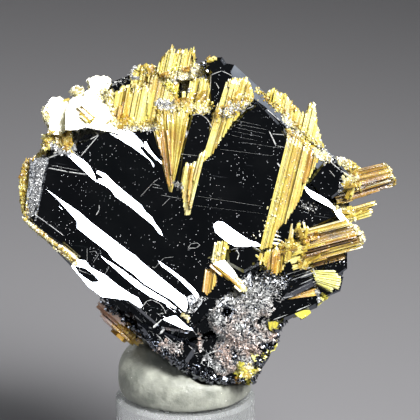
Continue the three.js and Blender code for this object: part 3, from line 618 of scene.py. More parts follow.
def crystal(solid, centre, size, rng, tint=0.5, stretch=1.0, lean=None):
    """A tiny eight-faced crystal, at any angle unless it leans one way."""
    x = (scatter(rng, 1) if lean is None else lean).normalized()
    y = x.orthogonal().normalized()
    z = x.cross(y)
    spin = rng.uniform(0, 2 * math.pi)
    y, z = y * math.cos(spin) + z * math.sin(spin), z * math.cos(spin) - y * math.sin(spin)
    centre = Vector(centre)
    long, wide = size * stretch * rng.uniform(0.7, 1.9), size * rng.uniform(0.35, 1.0)
    thick = size * rng.uniform(0.25, 0.9)
    cut = rng.uniform(0.1, 0.7)
    points = []
    for side in (-1, 1):
        for a, b in ((1, 0), (0, 1), (-1, 0), (0, -1)):
            points.append(centre + x * (side * long * cut) + y * (a * wide) + z * (b * thick))
    points += [centre - x * long, centre + x * long]
    faces = [[i, (i + 1) % 4, 4 + (i + 1) % 4, 4 + i] for i in range(4)]
    faces += [[8, (i + 1) % 4, i] for i in range(4)] + [[9, 4 + i, 4 + (i + 1) % 4] for i in range(4)]
    solid.add(points, faces, [(p[0] * 2, p[1], tint) for p in points])


LEDGE_LIFT = 0.02  # how far the lowest edge of a plate's top stands out


def ledge(solid, outline, level, facing=KEY_FACING, tilt=KEY_TILT, sunk=0.3, tint=0.9):
    """A thin plate on a face at w = level, whose flat top turns towards facing by tilt degrees."""
    right, up = heading(facing)
    heights = [u * right + v * up for u, v in outline]
    furthest, steep = max(heights), math.tan(math.radians(tilt))
    area = sum(a[0] * b[1] - b[0] * a[1] for a, b in zip(outline, outline[1:] + outline[:1]))
    order = range(len(outline)) if area > 0 else range(len(outline))[::-1]
    ring = [(*outline[i], level + LEDGE_LIFT + (furthest - heights[i]) * steep) for i in order]
    points = [Vector((u, v, level - sunk)) for u, v, _ in ring] + [Vector(p) for p in ring]
    solid.add(points, tube_faces(2, len(ring)), tint=tint)


def sideways(a, b, width):
    """Half of a line's width, at a right angle to it."""
    return Vector((-(b - a).y, (b - a).x, 0)).normalized() * width / 2


def splinter(solid, start, end, width, level):
    """A hair-thin bright growth step between two pixels of the photograph."""
    a, b = seen(*start, level), seen(*end, level)
    side, middle = sideways(a, b, width), (a + b) / 2
    ledge(solid, [tuple(p.xy) for p in (a, middle - side, b, middle + side)], level, sunk=0.1)


def bead(solid, start, end, width, level):
    """A low raised line between two pixels of the photograph, highest in its middle."""
    a, b = seen(*start, level), seen(*end, level)
    side = sideways(a, b, width)
    down, up = Vector((0, 0, -0.05)), Vector((0, 0, 0.015 + 0.16 * width))
    points = [a, b]
    for p in (lerp(a, b, 0.12), lerp(a, b, 0.88)):
        points += [p - side + down, p + side + down, p + side * 0.3 + up]
    faces = [[0, 2, 4], [0, 4, 3], [0, 3, 2], [1, 7, 5], [1, 6, 7], [1, 5, 6],
             [2, 5, 7, 4], [4, 7, 6, 3], [3, 6, 5, 2]]
    solid.add(points, faces)


def node_surface(name):
    """A CAD node's points and faces in the specimen's frame."""
    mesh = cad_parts[name].data
    return [FROM_WORLD @ v.co for v in mesh.vertices], [list(p.vertices) for p in mesh.polygons]


def tree_of(*surfaces):
    points, faces = [], []
    for more, sides in surfaces:
        first = len(points)
        points += more
        faces += [[first + i for i in side] for side in sides]
    return BVHTree.FromPolygons(points, faces)


HEMATITE_SURFACE = node_surface("hematite_crystal")
HEMATITE_TREE = tree_of(HEMATITE_SURFACE)
FAR_OUT = 40  # w from which a surface is looked for


def on_surface(u, v, tree, side=1):
    """The surface point straight behind u, v, and its normal; with side -1, the one on the back."""
    place, normal, _, _ = tree.ray_cast(Vector((u, v, FAR_OUT * side)), Vector((0, 0, -side)))
    return place, normal


# Rutile

CREAM = (0.7, 1.0)  # the tints of the palest masses
FINE = dict(strand=0.11, tints=(0.5, 0.95))  # settings of the finest needles
# Parallel strands: piece, material, CAD nodes, and for each mass its outline in pixels of the photograph, its
# direction (degrees), its back and front levels (mm) and its settings
FILLS = [
    ("needles_crown", GOLD, ["rutile_crown"], [
        ("105,98 110,91 118,90 124,84 130,84 132,89 137,80 141,83 149,76 151,128 117,128",
         79, 0.6, 3.1, dict(FINE, ragged=0.6)),
        ("132,90 130,73 134,66 141,66 149,64 153,72 151,92", 79, 0.4, 2.2, dict(FINE, ragged=0.3)),
        ("148,128 148,79 151,70 158,65 163,70 177,74 179,82 177,100 162,104 160,128", 78, 0.6, 3.2, FINE),
        ("157,74 158,63 162,57 166,53 170,49 173,44 176,50 182,48 195,48 196,64 192,80 176,80",
         78, 0.4, 3.5, dict(FINE, ragged=0.6, layers=2, bars=(1, 3))),
        ("187,113 188,92 191,79 197,77 209,77 211,92 209,113",
         80, 0.8, 3.5, dict(FINE, ragged=0.5, layers=2, bars=(1, 3))),
        ("156,130 158,112 162,100 180,96 208,98 208,113 186,114 184,130",
         78, 1.6, 3.4, dict(FINE, ragged=0.8)),
    ]),
    ("needles_fan", GOLD, ["rutile_fan"], [
        ("202,162 206,146 209,131 213,117 217,106 226,82 230,78 242,112 231,125 221,140 213,153 206,160",
         73, 2.2, 4.3, dict(strand=0.11, tints=(0.2, 0.85))),
        ("224,116 228,92 230,78 234,76 240,78 247,75 251,84 255,97 247,106 238,112",
         76, 2.2, 4.3, dict(FINE, ragged=0.5)),
        ("181,178 185,164 187,161 190,164 193,160 197,161 194,176 190,214 185,214 183,200",
         80, 3.4, 4.6, dict(FINE, layers=2, ragged=0.2)),
        ("196,164 200,154 205,150 208,153 200,166 192,206 189,212",
         76, 3.8, 4.75, dict(layers=1, tints=CREAM, strand=0.1, ragged=0.1)),
    ]),
    ("needles_band", GOLD, ["rutile_band"], [
        ("260,249 270,216 280,181 287,155 287,136 285,126 296,132 306,140 318,150 318,160 308,180 297,204 "
         "288,218 272,248", 76, 1.2, 4, dict(strand=0.11, ragged=0.35, tints=(0.45, 0.95))),
    ]),
    ("needles_band_amber", AMBER, [], [
        ("299,180 302,146 310,146 318,158 310,172 304,184",
         77, 3.3, 4.15, dict(layers=1, ragged=0.8, tints=(0.3, 0.9), bars=(1, 2), gaps=0.6, strand=0.11)),
        ("189,166 194,164 192,185 189,206 188,206",
         79, 4.2, 4.7, dict(layers=1, strand=0.1, tints=(0.2, 0.7))),
        ("155,130 160,122 168,126 171,150 172,184 170.5,190 168,185 162,158",
         96, 4, 4.55, dict(layers=1, strand=0.1, tints=(0.1, 0.5), bars=(1, 2), ragged=2.6, gaps=0.4)),
    ]),
    ("needles_crown_amber", AMBER, [], [
        ("117,124 121,100 129,92 130,98 127,124",
         79, 2.4, 3.45, dict(layers=1, ragged=1.4, tints=(0.1, 0.8), strand=0.11)),
        ("172,94 173,82 178,80 178,92", 80, 2.4, 3.4, dict(layers=1, tints=(0.3, 0.8), strand=0.11)),
        ("232,102 235,84 240,82 238,100",
         76, 3.6, 4.5, dict(layers=1, tints=(0.5, 1.0), strand=0.11, ragged=0.9)),
    ]),
    ("needles_crest", GOLD, ["rutile_crest"], [
        ("264,98 267,91 275,85 279,92 288,93 293,102 301,108 305,112 308,106 311,99 315,101 317,118 "
         "321,136 326,152 300,134 280,114", 77, -1.8, 0.6, dict(FINE, ragged=0.8, layers=4, gaps=0.15)),
    ]),
    ("rods_upper", GOLD, ["rutile_rods_upper"], [
        ("335,163 340,158 350,161 362,168 376,166 386,163 392,168 394,176 380,180 336,192",
         13, 0.2, 1.9, dict(layers=2, ragged=0.25, strand=0.11, tints=(0.15, 0.6))),
        ("336,189 386,174 394,177 397,184 391,187 375,192 345,203 336,204",
         16, -0.4, 1.6, dict(strand=0.12, layers=2, ragged=0.2, tints=(0.0, 0.55))),
    ]),
    ("rods_upper_amber", AMBER, [], [
        ("350,187 372,178 388,174 390,178 370,185 348,193",
         15, 1.3, 2.1, dict(layers=1, strand=0.12, tints=(-0.2, 0.25), ragged=0.3)),
        ("350,196 372,187 390,182 391,186 372,193 352,199",
         16.5, 0.9, 1.8, dict(layers=1, strand=0.12, tints=(-0.2, 0.3), ragged=0.3)),
    ]),
    ("rods_lower", GOLD, ["rutile_rods_lower"], [
        ("298,232 345,219 352,223 358,228 363,233 303,250",
         14, 1.8, 3.7, dict(layers=2, strand=0.12, tints=(0.0, 0.5), ragged=0.3)),
        ("302,248 364,232 365,241 361,247 315,262 302,262",
         15, 1.4, 3.5, dict(layers=2, strand=0.12, tints=(0.1, 0.6), ragged=0.3)),
    ]),
    ("rods_lower_amber", AMBER, [], [
        ("305,250 330,241 356,233 360,240 330,249 306,260",
         14.5, 3, 3.85, dict(layers=1, strand=0.12, tints=(-0.2, 0.35), ragged=0.4, gaps=0.1)),
        ("303,240 312,233 322,231 318,239 304,244",
         14, 3, 3.85, dict(layers=1, strand=0.12, tints=(0.2, 0.6), ragged=0.3)),
    ]),
    ("crystals_rim", GOLD, ["rutile_rim"], [
        ("29,156 31,165 29,182 27,193 26,213 22,210 22,198 20,194 22,184 20,178 23,172 22,164 25,158",
         82, 0.2, 2.4, dict(strand=0.13, tints=(0.1, 0.9), layers=4, ragged=1.2, root_ragged=0.3, sway=0.4)),
    ]),
    ("rim_lower", PALE, ["rutile_rim"], [
        ("24,217 40,230 53,239 70,250 82,259 82,266 73,264 60,252 50,243 38,233 27,224",
         -38, 0.6, 3.9, dict(strand=0.11, layers=4, tints=(0.0, 0.8), sway=0.35, root_ragged=0.3)),
    ]),
    ("crystals_slab", PEACH, ["rutile_slab"], [
        ("99,305 105,302 118,314 128,324 122,331 112,327 105,319 100,313", -42, -1.8, 0.1,
         dict(strand=0.3, layers=2, bars=(1, 2), tints=(0.0, 0.7), ragged=0.5, root_ragged=0.4, sway=0.05)),
    ]),
    ("slab_gold", AMBER, ["rutile_slab"], [
        ("110,325 124,320 142,334 145,345 131,345 118,337", -42, -1.8, 0,
         dict(strand=0.3, layers=2, bars=(1, 2), tints=(0.1, 0.7), ragged=0.5, root_ragged=0.4, sway=0.05)),
    ]),
    ("crystals_stubs", GOLD, ["rutile_stubs"], [
        ("262,254 268,244 276,243 285,245 288,252 285,266 277,276 268,273 263,262",
         84, 2, 4, dict(tints=(0.2, 0.8), ragged=0.6, strand=0.12)),
        ("286,266 287,250 292,244 304,240 312,258 306,268 294,270",
         18, 2, 3.6, dict(tints=(0.3, 1.0), ragged=0.8, gaps=0.3, strand=0.14)),
        ("284,262 288,240 291,222 294,221 292,240 288,262", 80, 3.4, 4.1, dict(layers=1, tints=CREAM)),
    ]),
    ("blades_front", GOLD, ["rutile_blades_front"], [
        ("211,263 213,256 215,243 221,240 227,241 229,246 226,252 224,260",
         80, 3.9, 4.75, dict(tints=CREAM, layers=1, ragged=0.2)),
        ("228,278 238,276 247,289 245,292 240,292", -42, 3.9, 4.9, dict(tints=CREAM, layers=1, ragged=0.1)),
    ]),
    ("blades_amber", AMBER, [], [
        ("266,272 268,252 274,248 280,250 276,274",
         84, 3.5, 4.25, dict(layers=1, tints=(0.1, 0.6), strand=0.12, ragged=1.0, gaps=0.2)),
        ("203,293 203,285 205,269 211,268 215,272 217,280 215,286 208,294",
         82, 3.6, 4.4, dict(layers=1, tints=(0.3, 0.85), ragged=0.1, strand=0.12)),
        ("210,265 213,264 221,270 231,277 240,283 241,290 230,281 213,270",
         -42, 4.1, 4.8, dict(layers=1, tints=(0.3, 0.8), strand=0.12, bars=(1, 2), ragged=0.1)),
        ("275,302 298,294 316,289 319,292 315,296 297,301 282,305",
         16, 0.8, 2, dict(layers=1, tints=(0.3, 1.0), ragged=0.1)),
        ("308,268 308,262 328,255 348,254 346,258 324,262",
         14, 1.2, 2.3, dict(layers=1, tints=(0.1, 0.6), ragged=0.3)),
    ]),
    ("crystals_shards", YELLOW, [f"rutile_shard_{i + 2}" for i in range(6)], [
        ("318,297 330,296 324,301 316,306 306,303",
         -20, -1, 0.5, dict(layers=1, tints=(0.3, 0.8), strand=0.3)),
        ("290,313 304,310 310,310 311,313 307,316 302,319 296,317",
         18, -0.8, 0.6, dict(layers=1, tints=(0.1, 0.9), strand=0.3, bars=(1, 1), slope=(300, 8))),
        ("264,322 275,321 283,325 279,328 274,333 268,329",
         18, -0.4, 1, dict(layers=1, tints=(0.1, 0.6), strand=0.3, bars=(1, 1), slope=(300, 8))),
        ("249,352 266,352 264,359 261,364 256,364",
         -42, 0, 1.5, dict(layers=1, tints=(0.4, 0.9), strand=0.3, slope=(100, 6))),
        ("262,350 269,344 275,342 278,345 275,350 268,353",
         18, -0.4, 1, dict(layers=1, tints=CREAM, strand=0.3)),
        ("234,366 240,362 248,366 250,373 256,369 254,381 248,384 236,376",
         77, 0.2, 1.8, dict(tints=(0.4, 1.0), strand=0.3, bars=(1, 1), gaps=0.3, ragged=0.9)),
    ]),
    # The cluster and the bright slabs are painted near-white with the palest tints: partly painted highlight,
    # while their faces are also turned to mirror the key light.
    ("crystals_cluster", PALE, ["rutile_cluster"], [
        ("51,99 61,99 66,103 76,100 90,120 77,130 68,130 61,134 47,134 50,125 46,119 43,112",
         FALLING, 0, 3, dict(strand=0.4, lean=-0.325, tints=CREAM, layers=3, bars=(2, 5), ragged=0.15)),
        ("88,79 92,77 101,77 107,78 111,82 110,87 101,94 97,97 90,97 85,94 90,88",
         FALLING, 0.2, 2.4, dict(strand=0.3, lean=-0.325, tints=CREAM, layers=3, bars=(2, 5), ragged=0.15)),
        ("71,91 73,87 78,86 82,89 82,94 74,96", FALLING, 0.4, 2.4, dict(strand=0.3, tints=CREAM, layers=2)),
        ("46,148 40,140 45,134 50,131 72,131 70,148 56,150",
         77, 1, 3.2, dict(strand=0.3, tints=(0.0, 0.7), layers=2, ragged=0.9, bars=(1, 2))),
    ]),
    ("bright_slabs", PALE, [], [
        ("70,102 74,97 83,96 100,97 102,104 110,112 115,123 119,134 110,132 101,130 86,127 77,130 66,130",
         FALLING, 2.4, 4.2, dict(strand=0.5, lean=-0.325, tints=CREAM, layers=2, bars=(2, 5), ragged=0.15)),
    ]),
    ("inclusions", GOLD, [], [
        ("76,111 84,104 99,119 91,126",
         FALLING, 4.75, 5.25, dict(layers=1, tints=(0.3, 1.0), ragged=0.7, root_ragged=0.4, strand=0.12)),
        ("62,103 67,98 73,100 70,104", 18, 2.8, 3.3, dict(layers=1, tints=(0.5, 0.9), strand=0.25)),
    ]),
]

# Blocky bars: piece, material, CAD nodes, then rows of width (px), levels at the root and the tip (mm),
# depth (mm) and tint: from and to (px)
BARS = [
    ("bars_middle", GOLD, ["rutile_rods_middle"], table("""
        4 0.5 0.5 0.9 0.6: 340,213 376,203
        4 0.3 0.3 0.9 0.35: 342,218 369,209
        4 0.3 0.3 0.9 0.7: 344,222 371,214
        8 -0.1 -0.1 0.8 0.5: 344,217 372,208
    """)),
    ("bars_cream", PALE, [], table("""
        1.5 3.4 3.2 0.9 0.6: 300,232 346,219.5
        2 3 2.7 1 0.7: 304,262 362,246.5
        1.5 1.4 1.4 1 0.5: 340,196 390,180
        2 1.2 1.1 1.4 0.5: 386,164 395,182
        1.2 4.4 4.4 0.5 0.7: 203.5,292 206,270
        1.3 2.2 2.4 1 0.6: 27.5,212 30,165
    """)),
]

# Flat faces: piece, material, then rows of level (mm), the way the face turns and by how much (degrees) and
# thickness (mm): outline (px)
CHIPS = [
    ("blade_face", PALE, table("""
        4.7 48 17 0.7: 214,260 219,257 224,259 235,272 239,280 236,281 220,268 213,264
    """)),
    ("silver_rim", FROST, table("""
        2.86 180 30 0.6: 32,158 49,158 49,163 44,173 42,186 40,200 34,210 31,219 24,218 26,208 27,193 29,182
            30,167
    """)),
    # The cluster's faces are turned to mirror the key light and are also painted pale: partly painted
    # highlight.
    ("cluster_faces", PALE, table("""
        3.1 48 17 3: 43,112 46,107 51,99 58,97 66,101 78,110 91,121 84,127 77,130 66,131 61,135 48,134
            50,126 46,119
        2.5 48 17 2: 88,79 101,77 107,78 111,83 109,88 100,94 97,97 90,97 85,94 91,88
        2.5 48 18 2: 71,91 73,87 79,86 83,90 81,94 75,95
        4.2 48 17 2: 66,112 70,102 76,97 84,96 100,97 102,104 110,112 114,122 119,134 110,132 98,130 86,127
            77,130 66,130
    """)),
    ("shard_faces", YELLOW, table("""
        2.2 300 8 2.6: 294,313 304,310 310,310 311,313 307,316 302,319 297,316
        2 320 8 2.4: 268,322 275,321 283,325 279,328 274,333 269,329
        2.1 100 6 2: 249,352 266,352 264,359 261,364 256,364
        0.6 300 10 1.4: 318,297 330,296 324,301 318,306
    """)),
    ("plate_frost", FROST, table("""
        3.2 60 10 0.5: 223,266 250,264 252,290 226,290
        3.95 48 6 0.5: 186,297 194,294 204,300 194,313 189,305
    """)),
    ("prism_stripes", ETCHED_AND_GLINT, table("""
        3.99 90 4 0.2: 277,230 289,232 289,234 276,232
        3.99 90 4 0.2: 275,234 288,236 288,238 274,236
        3.99 90 4 0.2: 273,238 287,240 287,242 272,240
        3.99 90 4 0.2: 272,242 286,244 286,246 271,244
    """)),
    ("prisms", HEMATITE, table("""
        2.7 90 22 2.7: 283,277 311,268 313,271 285,281
        2.5 90 22 2.7: 286,288 313,276 315,279 288,293
        2.2 210 4 2.6: 272,302 318,295 319,302 300,311 286,317 271,321
        0.3 210 4 1.2: 103,299 116,298 124,304 132,312 122,311 110,305
        1.3 210 4 1.4: 118,298 136,303 150,314 160,324 150,324 136,315 126,306
        0.9 210 4 1.2: 130,310 146,318 158,328 168,338 160,340 148,332 136,320
        4.4 210 4 0.4: 118,140 132,146.5 146,157 152,166 149,163 135,156 120,145
        4.45 210 4 0.4: 148,139 154,142 161,152 163.5,160 159,157 152,148
        4.05 210 4 0.6: 32,214 48,225 65,237 62,244 49,235 33,222
        4.45 210 4 0.4: 141,146 144,147.5 157,161 160,166 156,164 146,153
        3.35 60 16 0.5: 226,268 234,267 236,280 228,284
        3.35 80 14 0.5: 238,268 247,267 248,276 240,282
        3.35 30 14 0.5: 240,284 249,279 250,289 242,289
        4.05 60 10 0.5: 192,305 200,299 202,301 194,310
        3.8 210 8 0.9: 283,266 290,261 293,267 286,272
        4.75 210 4 0.4: 76,266 85,268 93,274 99,280 93,281 86,277 79,272
        3.95 200 3 0.9: 271,246 277,231 287,218 292,220 290,233 286,246
        1.6 200 12 2.2: 262,331 272,328 278,333 277,341 262,341
        0.8 47 49 2.6: 254,99 262,94 272,103 282,113 291,125 289,131 283,124 273,114 264,106
    """)),
]

# Fans of rods on the front: piece, material, CAD nodes, roots and tips (px), rods, tints, back and front
# levels (mm)
WEDGES = [
    ("needles_wedge", GOLD, ["rutile_crown"], "169.6,192 171.4,192",
     "154,128 157,116 162,107 170,105 180,105 189,108", 9, (0.35, 0.7), 2.9, 4.45),
    ("shard_fan", YELLOW, ["rutile_shard_1"], "312,271 317,283",
     "335,272 341,278 341,286 333,291", 6, (0.6, 1.1), 0.6, 2.1),
]

# Sprays on the back: CAD node, foot (mm), direction (degrees), length and half breadth (mm)
BACK_SPRAYS = [
    ("rutile_back_steep", (1.4, -2.6), STEEP, 12.5, 1.5),
    ("rutile_back_shallow", (-0.9, -0.4), SHALLOW + 180, 8.5, 1.3),
    ("rutile_back_falling", (2.9, 0.2), FALLING, 7.5, 1.1),
]
BACK_TIPS = [(0.74, -1), (0.95, -0.5), (1, 0), (0.84, 0.5), (0.9, 1)]  # shares of length and half breadth
BACK_LEVELS = (-8.0, -4.9)
BACK_RODS = 6


def back_spray(solid, foot, angle, length, breadth, rng):
    along = heading(angle)

    def at(far, side):
        return (foot[0] + along[0] * far - along[1] * side, foot[1] + along[1] * far + along[0] * side)

    tips = [at(length * far, breadth * side) for far, side in BACK_TIPS]
    spray(solid, [at(0, -0.5), at(0, 0.5)], tips, *BACK_LEVELS, BACK_RODS, rng)


def slot_of(material):
    return "hematite" if material in (HEMATITE, ETCHED_AND_GLINT, FROST, SILVER, DRUSE) else "rutile"


def make_rutile():
    rng = random.Random(11)
    for name, material, nodes, masses in FILLS:
        solid = Solid()
        for outline, angle, back, front, settings in masses:
            fill(solid, pairs(outline), angle, back, front, rng, **settings)
        solid.finish(name, material, slot_of(material), nodes)
    for name, material, nodes, bars in BARS:
        solid = Solid()
        for (width, root_level, tip_level, depth, tint), (start, end) in bars:
            wide = width * MM_PER_PX
            root, tip = seen(*start, root_level), seen(*end, tip_level)
            bundle(solid, root, tip, wide * 0.95, wide, depth, rng, tint, 0.16, 0.02, 0.05)
        solid.finish(name, material, "rutile", nodes)
    for name, material, nodes, roots, tips, rods, tints, back, front in WEDGES:
        solid = Solid()
        lines = [[seen(*p, front).xy for p in pairs(text)] for text in (roots, tips)]
        spray(solid, *lines, back, front, rods, rng, layers=2, ragged=0.05, tints=tints, strand=0.08)
        solid.finish(name, material, "rutile", nodes)
    for name, *shape in BACK_SPRAYS:
        solid = Solid()
        back_spray(solid, *shape, rng)
        solid.finish(name.replace("rutile", "needles"), GOLD, "rutile", [name])
    for name, material, chips in CHIPS:
        solid = Solid()
        for (level, facing, tilt, thick), outline in chips:
            ring = jagged([tuple(seen(x, y, level).xy) for x, y in outline], 0.03, rng, 0.5)
            ledge(solid, ring, level, facing, tilt, thick, rng.uniform(0.3, 0.9))
        solid.finish(name, material, slot_of(material))


make_rutile()


# Druse

# Lumps of the crust: middle (mm), radii (mm)
CRUST = [
    ((2.4, -7.4, 2.6), (1.9, 2.3, 2.1)), ((4.9, -6.4, 2.5), (1.8, 1.9, 1.7)),
    ((3.9, -8.9, 2.1), (2.2, 2.1, 1.8)), ((3.0, -10.8, 1.8), (1.7, 1.9, 1.5)),
    ((5.2, -10.0, 1.5), (1.2, 1.4, 1.2)), ((2.0, -12.0, 1.6), (0.8, 1.0, 1.0)),
    ((4.2, -11.6, 1.2), (1.1, 1.2, 1.0)),
]
# Lumps of larger dark prisms with silver grains on them: middle (mm), radii (mm)
PRISM_LUMPS = [
    ((5.7, -4.7, 2.4), (1.3, 1.2, 1.3)), ((6.5, -5.4, 2.2), (1.2, 1.1, 1.2)),
    ((4.1, -5.0, 2.6), (1.2, 1.0, 1.2)),
]
# Hollows in the crust, dented in and darkened with painted shade where their crystals are left out and the
# black core shows: radii (px) and depth (0 to 1): middle (px)
HOLLOWS = table("""
5 9 1: 227,312
4 10 1: 235,356
2 5 0.7: 213,304
5 6 0.7: 262,322
3 3 0.5: 246,300
3 5 0.6: 250,326
3 5 0.5: 222,326
5 4 0.9: 268,336
5 4 0.9: 262,345
2 3 0.5: 212,322
2 3 0.4: 240,316
3 3 0.5: 256,306
""")
CRUST_LEVEL = 3.5  # w at which the hollows' pixels are placed
CORE_SHARE = 0.94  # the size of the body under a lump's crystals
CORE_ROWS = 40
CRYSTALS = 720  # for each square millimetre of a lump's width times its height
CRYSTAL_SIZES = (0.035, 0.045, 0.06, 0.06, 0.08, 0.12)
UPPER_FROM = -8.3  # v over which a crystal belongs to the crust's upper piece
STREAK_CHANCE = 0.012
PRISMS = 90  # for each square millimetre, as the crystals
PRISM_GRAINS = 8  # on each prism
PRISM_GRAIN_SIZES = (0.035, 0.05, 0.07)


def hollow_depth(place):
    """How deep the hollows are at a place, 0 to 1."""
    deepest = 0
    for (wide, high, depth), ((x, y),) in HOLLOWS:
        hollow = seen(x, y, CRUST_LEVEL)
        across, up = (place.x - hollow.x) / (wide * MM_PER_PX), (place.y - hollow.y) / (high * MM_PER_PX)
        deepest = max(deepest, depth * math.exp(-(across ** 2 + up ** 2)))
    return deepest


def crust_point(middle, out, radii):
    """The place of the crust's surface in one direction from a lump's middle."""
    place = middle + out * radii
    ripple = 1 - 0.13 * noise.fractal(place * 0.8, 0.9, 2.1, 3) - 0.05 * abs(noise.noise(place * 3.1))
    if out.z > 0:
        ripple -= 0.6 * hollow_depth(place) * out.z
    return middle + out * radii * min(ripple, 1.08)


def crust_core(solid, middle, radii):
    """The closed body under a lump's crystals."""
    wide = 2 * CORE_ROWS
    points = [crust_point(middle, Vector((0, 0, 1)), radii)]
    for i in range(1, CORE_ROWS):
        tilt = math.pi * i / CORE_ROWS
        for j in range(wide):
            turn = math.pi * j / CORE_ROWS
            out = Vector((math.sin(tilt) * math.cos(turn), math.sin(tilt) * math.sin(turn), math.cos(tilt)))
            points.append(crust_point(middle, out, radii))
    points.append(crust_point(middle, Vector((0, 0, -1)), radii))
    last = len(points) - 1
    faces = [[0, 1 + j, 1 + (j + 1) % wide] for j in range(wide)]
    faces += [[last, last - wide + (j + 1) % wide, last - wide + j] for j in range(wide)]
    for first in range(1, last - wide, wide):
        for j in range(wide):
            k = (j + 1) % wide
            faces.append([first + j, first + wide + j, first + wide + k, first + k])
    solid.add(points, faces, tint=0.3)


def outward(rng):
    """A direction at random, more often to the front."""
    return Vector((rng.gauss(0, 1), rng.gauss(0, 1), rng.gauss(0.35, 1))).normalized()


def make_druse():
    rng = random.Random(5)
    core, upper, lower, streaks, prisms = Solid(), Solid(), Solid(), Solid(), Solid()
    for middle, radii in CRUST:
        middle, radii = Vector(middle), Vector(radii)
        crust_core(core, middle, radii * CORE_SHARE)
        for _ in range(round(CRYSTALS * radii.x * radii.y)):
            out = outward(rng)
            spot = crust_point(middle, out, radii * rng.uniform(0.93, 0.98))
            # Crystals are left out in the hollows so that the black core shows there: painted shade in the
            # hollows, besides their dent.
            if rng.random() < 1.4 * hollow_depth(spot) - 0.1:
                continue
            size, tint = rng.choice(CRYSTAL_SIZES), rng.random()
            crust = upper if spot.y > UPPER_FROM else lower
            crystal(crust, spot, size, rng, tint, 1.3, out + scatter(rng, 0.7))
            if rng.random() < STREAK_CHANCE:
                side = Vector((rng.gauss(0, 1), rng.gauss(0, 1), 0.3)).normalized() * rng.uniform(0.2, 0.45)
                needle(streaks, spot - side, spot + side, 0.07, 0.07, rng, 0.8, 1.0)
    for middle, radii in PRISM_LUMPS:
        middle, radii = Vector(middle), Vector(radii)
        for _ in range(round(PRISMS * radii.x * radii.y)):
            out = outward(rng)
            spot = middle + out * radii * rng.uniform(0.55, 0.95)
            lean = out + scatter(rng, 0.6)
            crystal(prisms, spot, rng.uniform(0.12, 0.26), rng, 0.5, 1.4, lean)
            for _ in range(PRISM_GRAINS):
                near = spot + scatter(rng, 0.22)
                crystal(upper, near, rng.choice(PRISM_GRAIN_SIZES), rng, rng.random(), 1.6)
    prisms.finish("druse_prisms", HEMATITE, "druse", ["hematite_druse"])
    core.finish("druse_core", HEMATITE, "druse", ["hematite_druse"], smooth=True)
    upper.finish("druse_crust_upper", DRUSE, "druse", ["hematite_druse"])
    lower.finish("druse_crust_lower", DRUSE, "druse", ["hematite_druse"])
    streaks.finish("druse_streaks", ETCHED_AND_GLINT, "druse", ["hematite_druse"])


make_druse()
FRONT_TREE = tree_of(HEMATITE_SURFACE, *Solid.made)


# Growth steps, lines and scratches on the black faces

# Raised lines: width (px) and level (mm): the pixels they run through
LINES = table("""
2 4: 48,168 68,172 89,175
0.8 4: 50,165 80,171
1.6 4: 80,157 99,135
1.8 4: 78,137 90,140 99,135
0.8 4: 140,197 153,183 158,179
0.8 4: 153,184 160,186
0.8 4: 152,187 163,189
0.8 4: 160,195 183,199
0.8 4: 162,206 170,198
1.6 4: 99,205 99,210 96,215
1.6 3.6: 34,214 48,224 64,236
0.8 4: 87,248 87,262
0.8 4: 89,252 95,251 98,255
0.8 4: 93,263 99,254
0.8 4: 109,267 105,274
1.4 4: 143,306 147,301 152,300 160,304 164,309 166,314
0.8 4: 152,267 155,268 160,262 164,258 174,257
0.8 4: 180,154 198,156
1 4: 188,248 191,244 197,243 200,245 196,248 188,248
0.5 4: 234,120 262,126
0.6 4: 236,124 268,130
0.5 4: 234,127 266,134
0.5 4: 232,131 262,137
0.4 4: 230,135 258,141
0.5 4: 218,149 274,156
0.5 4: 240,142 280,148
0.5 4: 196,196 266,207
0.3 4: 190,205 266,214
2.2 4: 269,131 276,146
1.4 4: 272,134 284,135
2.6 4: 277,163 281,168
1 4: 277,146 286,148
1.4 3.7: 216,83 219,89
1.4 3.2: 329,170 335,177
1.6 4: 255,101 266,109 280,121 284,128 287,138 288,148
1 4.25: 186,150 186,124 192,115 200,114 207,119 212,128
1 3.7: 210,92 211,75 222,71 232,76
0.8 4: 226,104 246,111 254,105
1.8 3.2: 328,160 340,170 352,178
1 4.45: 228,251 240,247 254,247 263,253
1.8 4.4: 236,250 239,254 237,260
1.2 4: 48,158 72,150 80,157
1 2.2: 272,300 294,296 317,293
1 2.2: 318,294 319,301 296,311 273,320
1.3 2.6: 282,276 312,267
1.2 2.6: 284,283 315,272
1.4 2.6: 312,266 317,279
1.2 2.4: 285,295 316,281
0.6 2.6: 287,279 312,270
0.7 2.4: 288,290 314,278
1.4 3: 34,162 33,172 30,186 27,200 26,214
1.4 3.2: 46,160 43,174 40,190 38,203
1.2 3: 33,172 41,169
1.2 3: 30,186 38,182
1.2 3: 28,198 37,195
1.4 1.6: 180,93 189,84
1 1.6: 184,96 190,88
1 1.6: 179,88 185,83
1.2 4.1: 192,311 203,300
2.4 4.1: 196,296 202,301
2.2 3.5: 162,319 153,328
2.2 3.5: 168,324 160,334
2 3.5: 176,329 167,338
1.6 3: 125,314 130,317
1.8 3: 135,316 143,323
2 3: 149,327 153,330
2 3: 156,334 161,339
1.4 3: 164,335 170,340
1.2 3.2: 192,330 197,335 205,337 210,339
1.4 2.9: 200,336 199,342 202,350
1.6 2.6: 204,356 212,352 220,350
1.2 2.4: 204,356 201,364
1.8 2.4: 209,358 208,367
2.4 2.2: 185,366 192,368
1 3.2: 78,270 92,275 99,276
""")
# Edges that fine splinters fray: how many, their length (mm): start and end (px)
FRAYED = table("""
30 1.2: 47,190 182,300
34 1.1: 62,207 180,311
16 0.9: 98,171 160,230
6 0.6: 68,155 98,182
18 0.9: 102,257 176,312
8 0.8: 72,269 112,284
10 0.8: 98,292 150,311
5 0.9: 160,263 197,293
14 0.7: 108,130 156,166
8 0.6: 120,142 150,162
6 0.6: 164,318 192,330
12 0.5: 297,180 352,222
""")
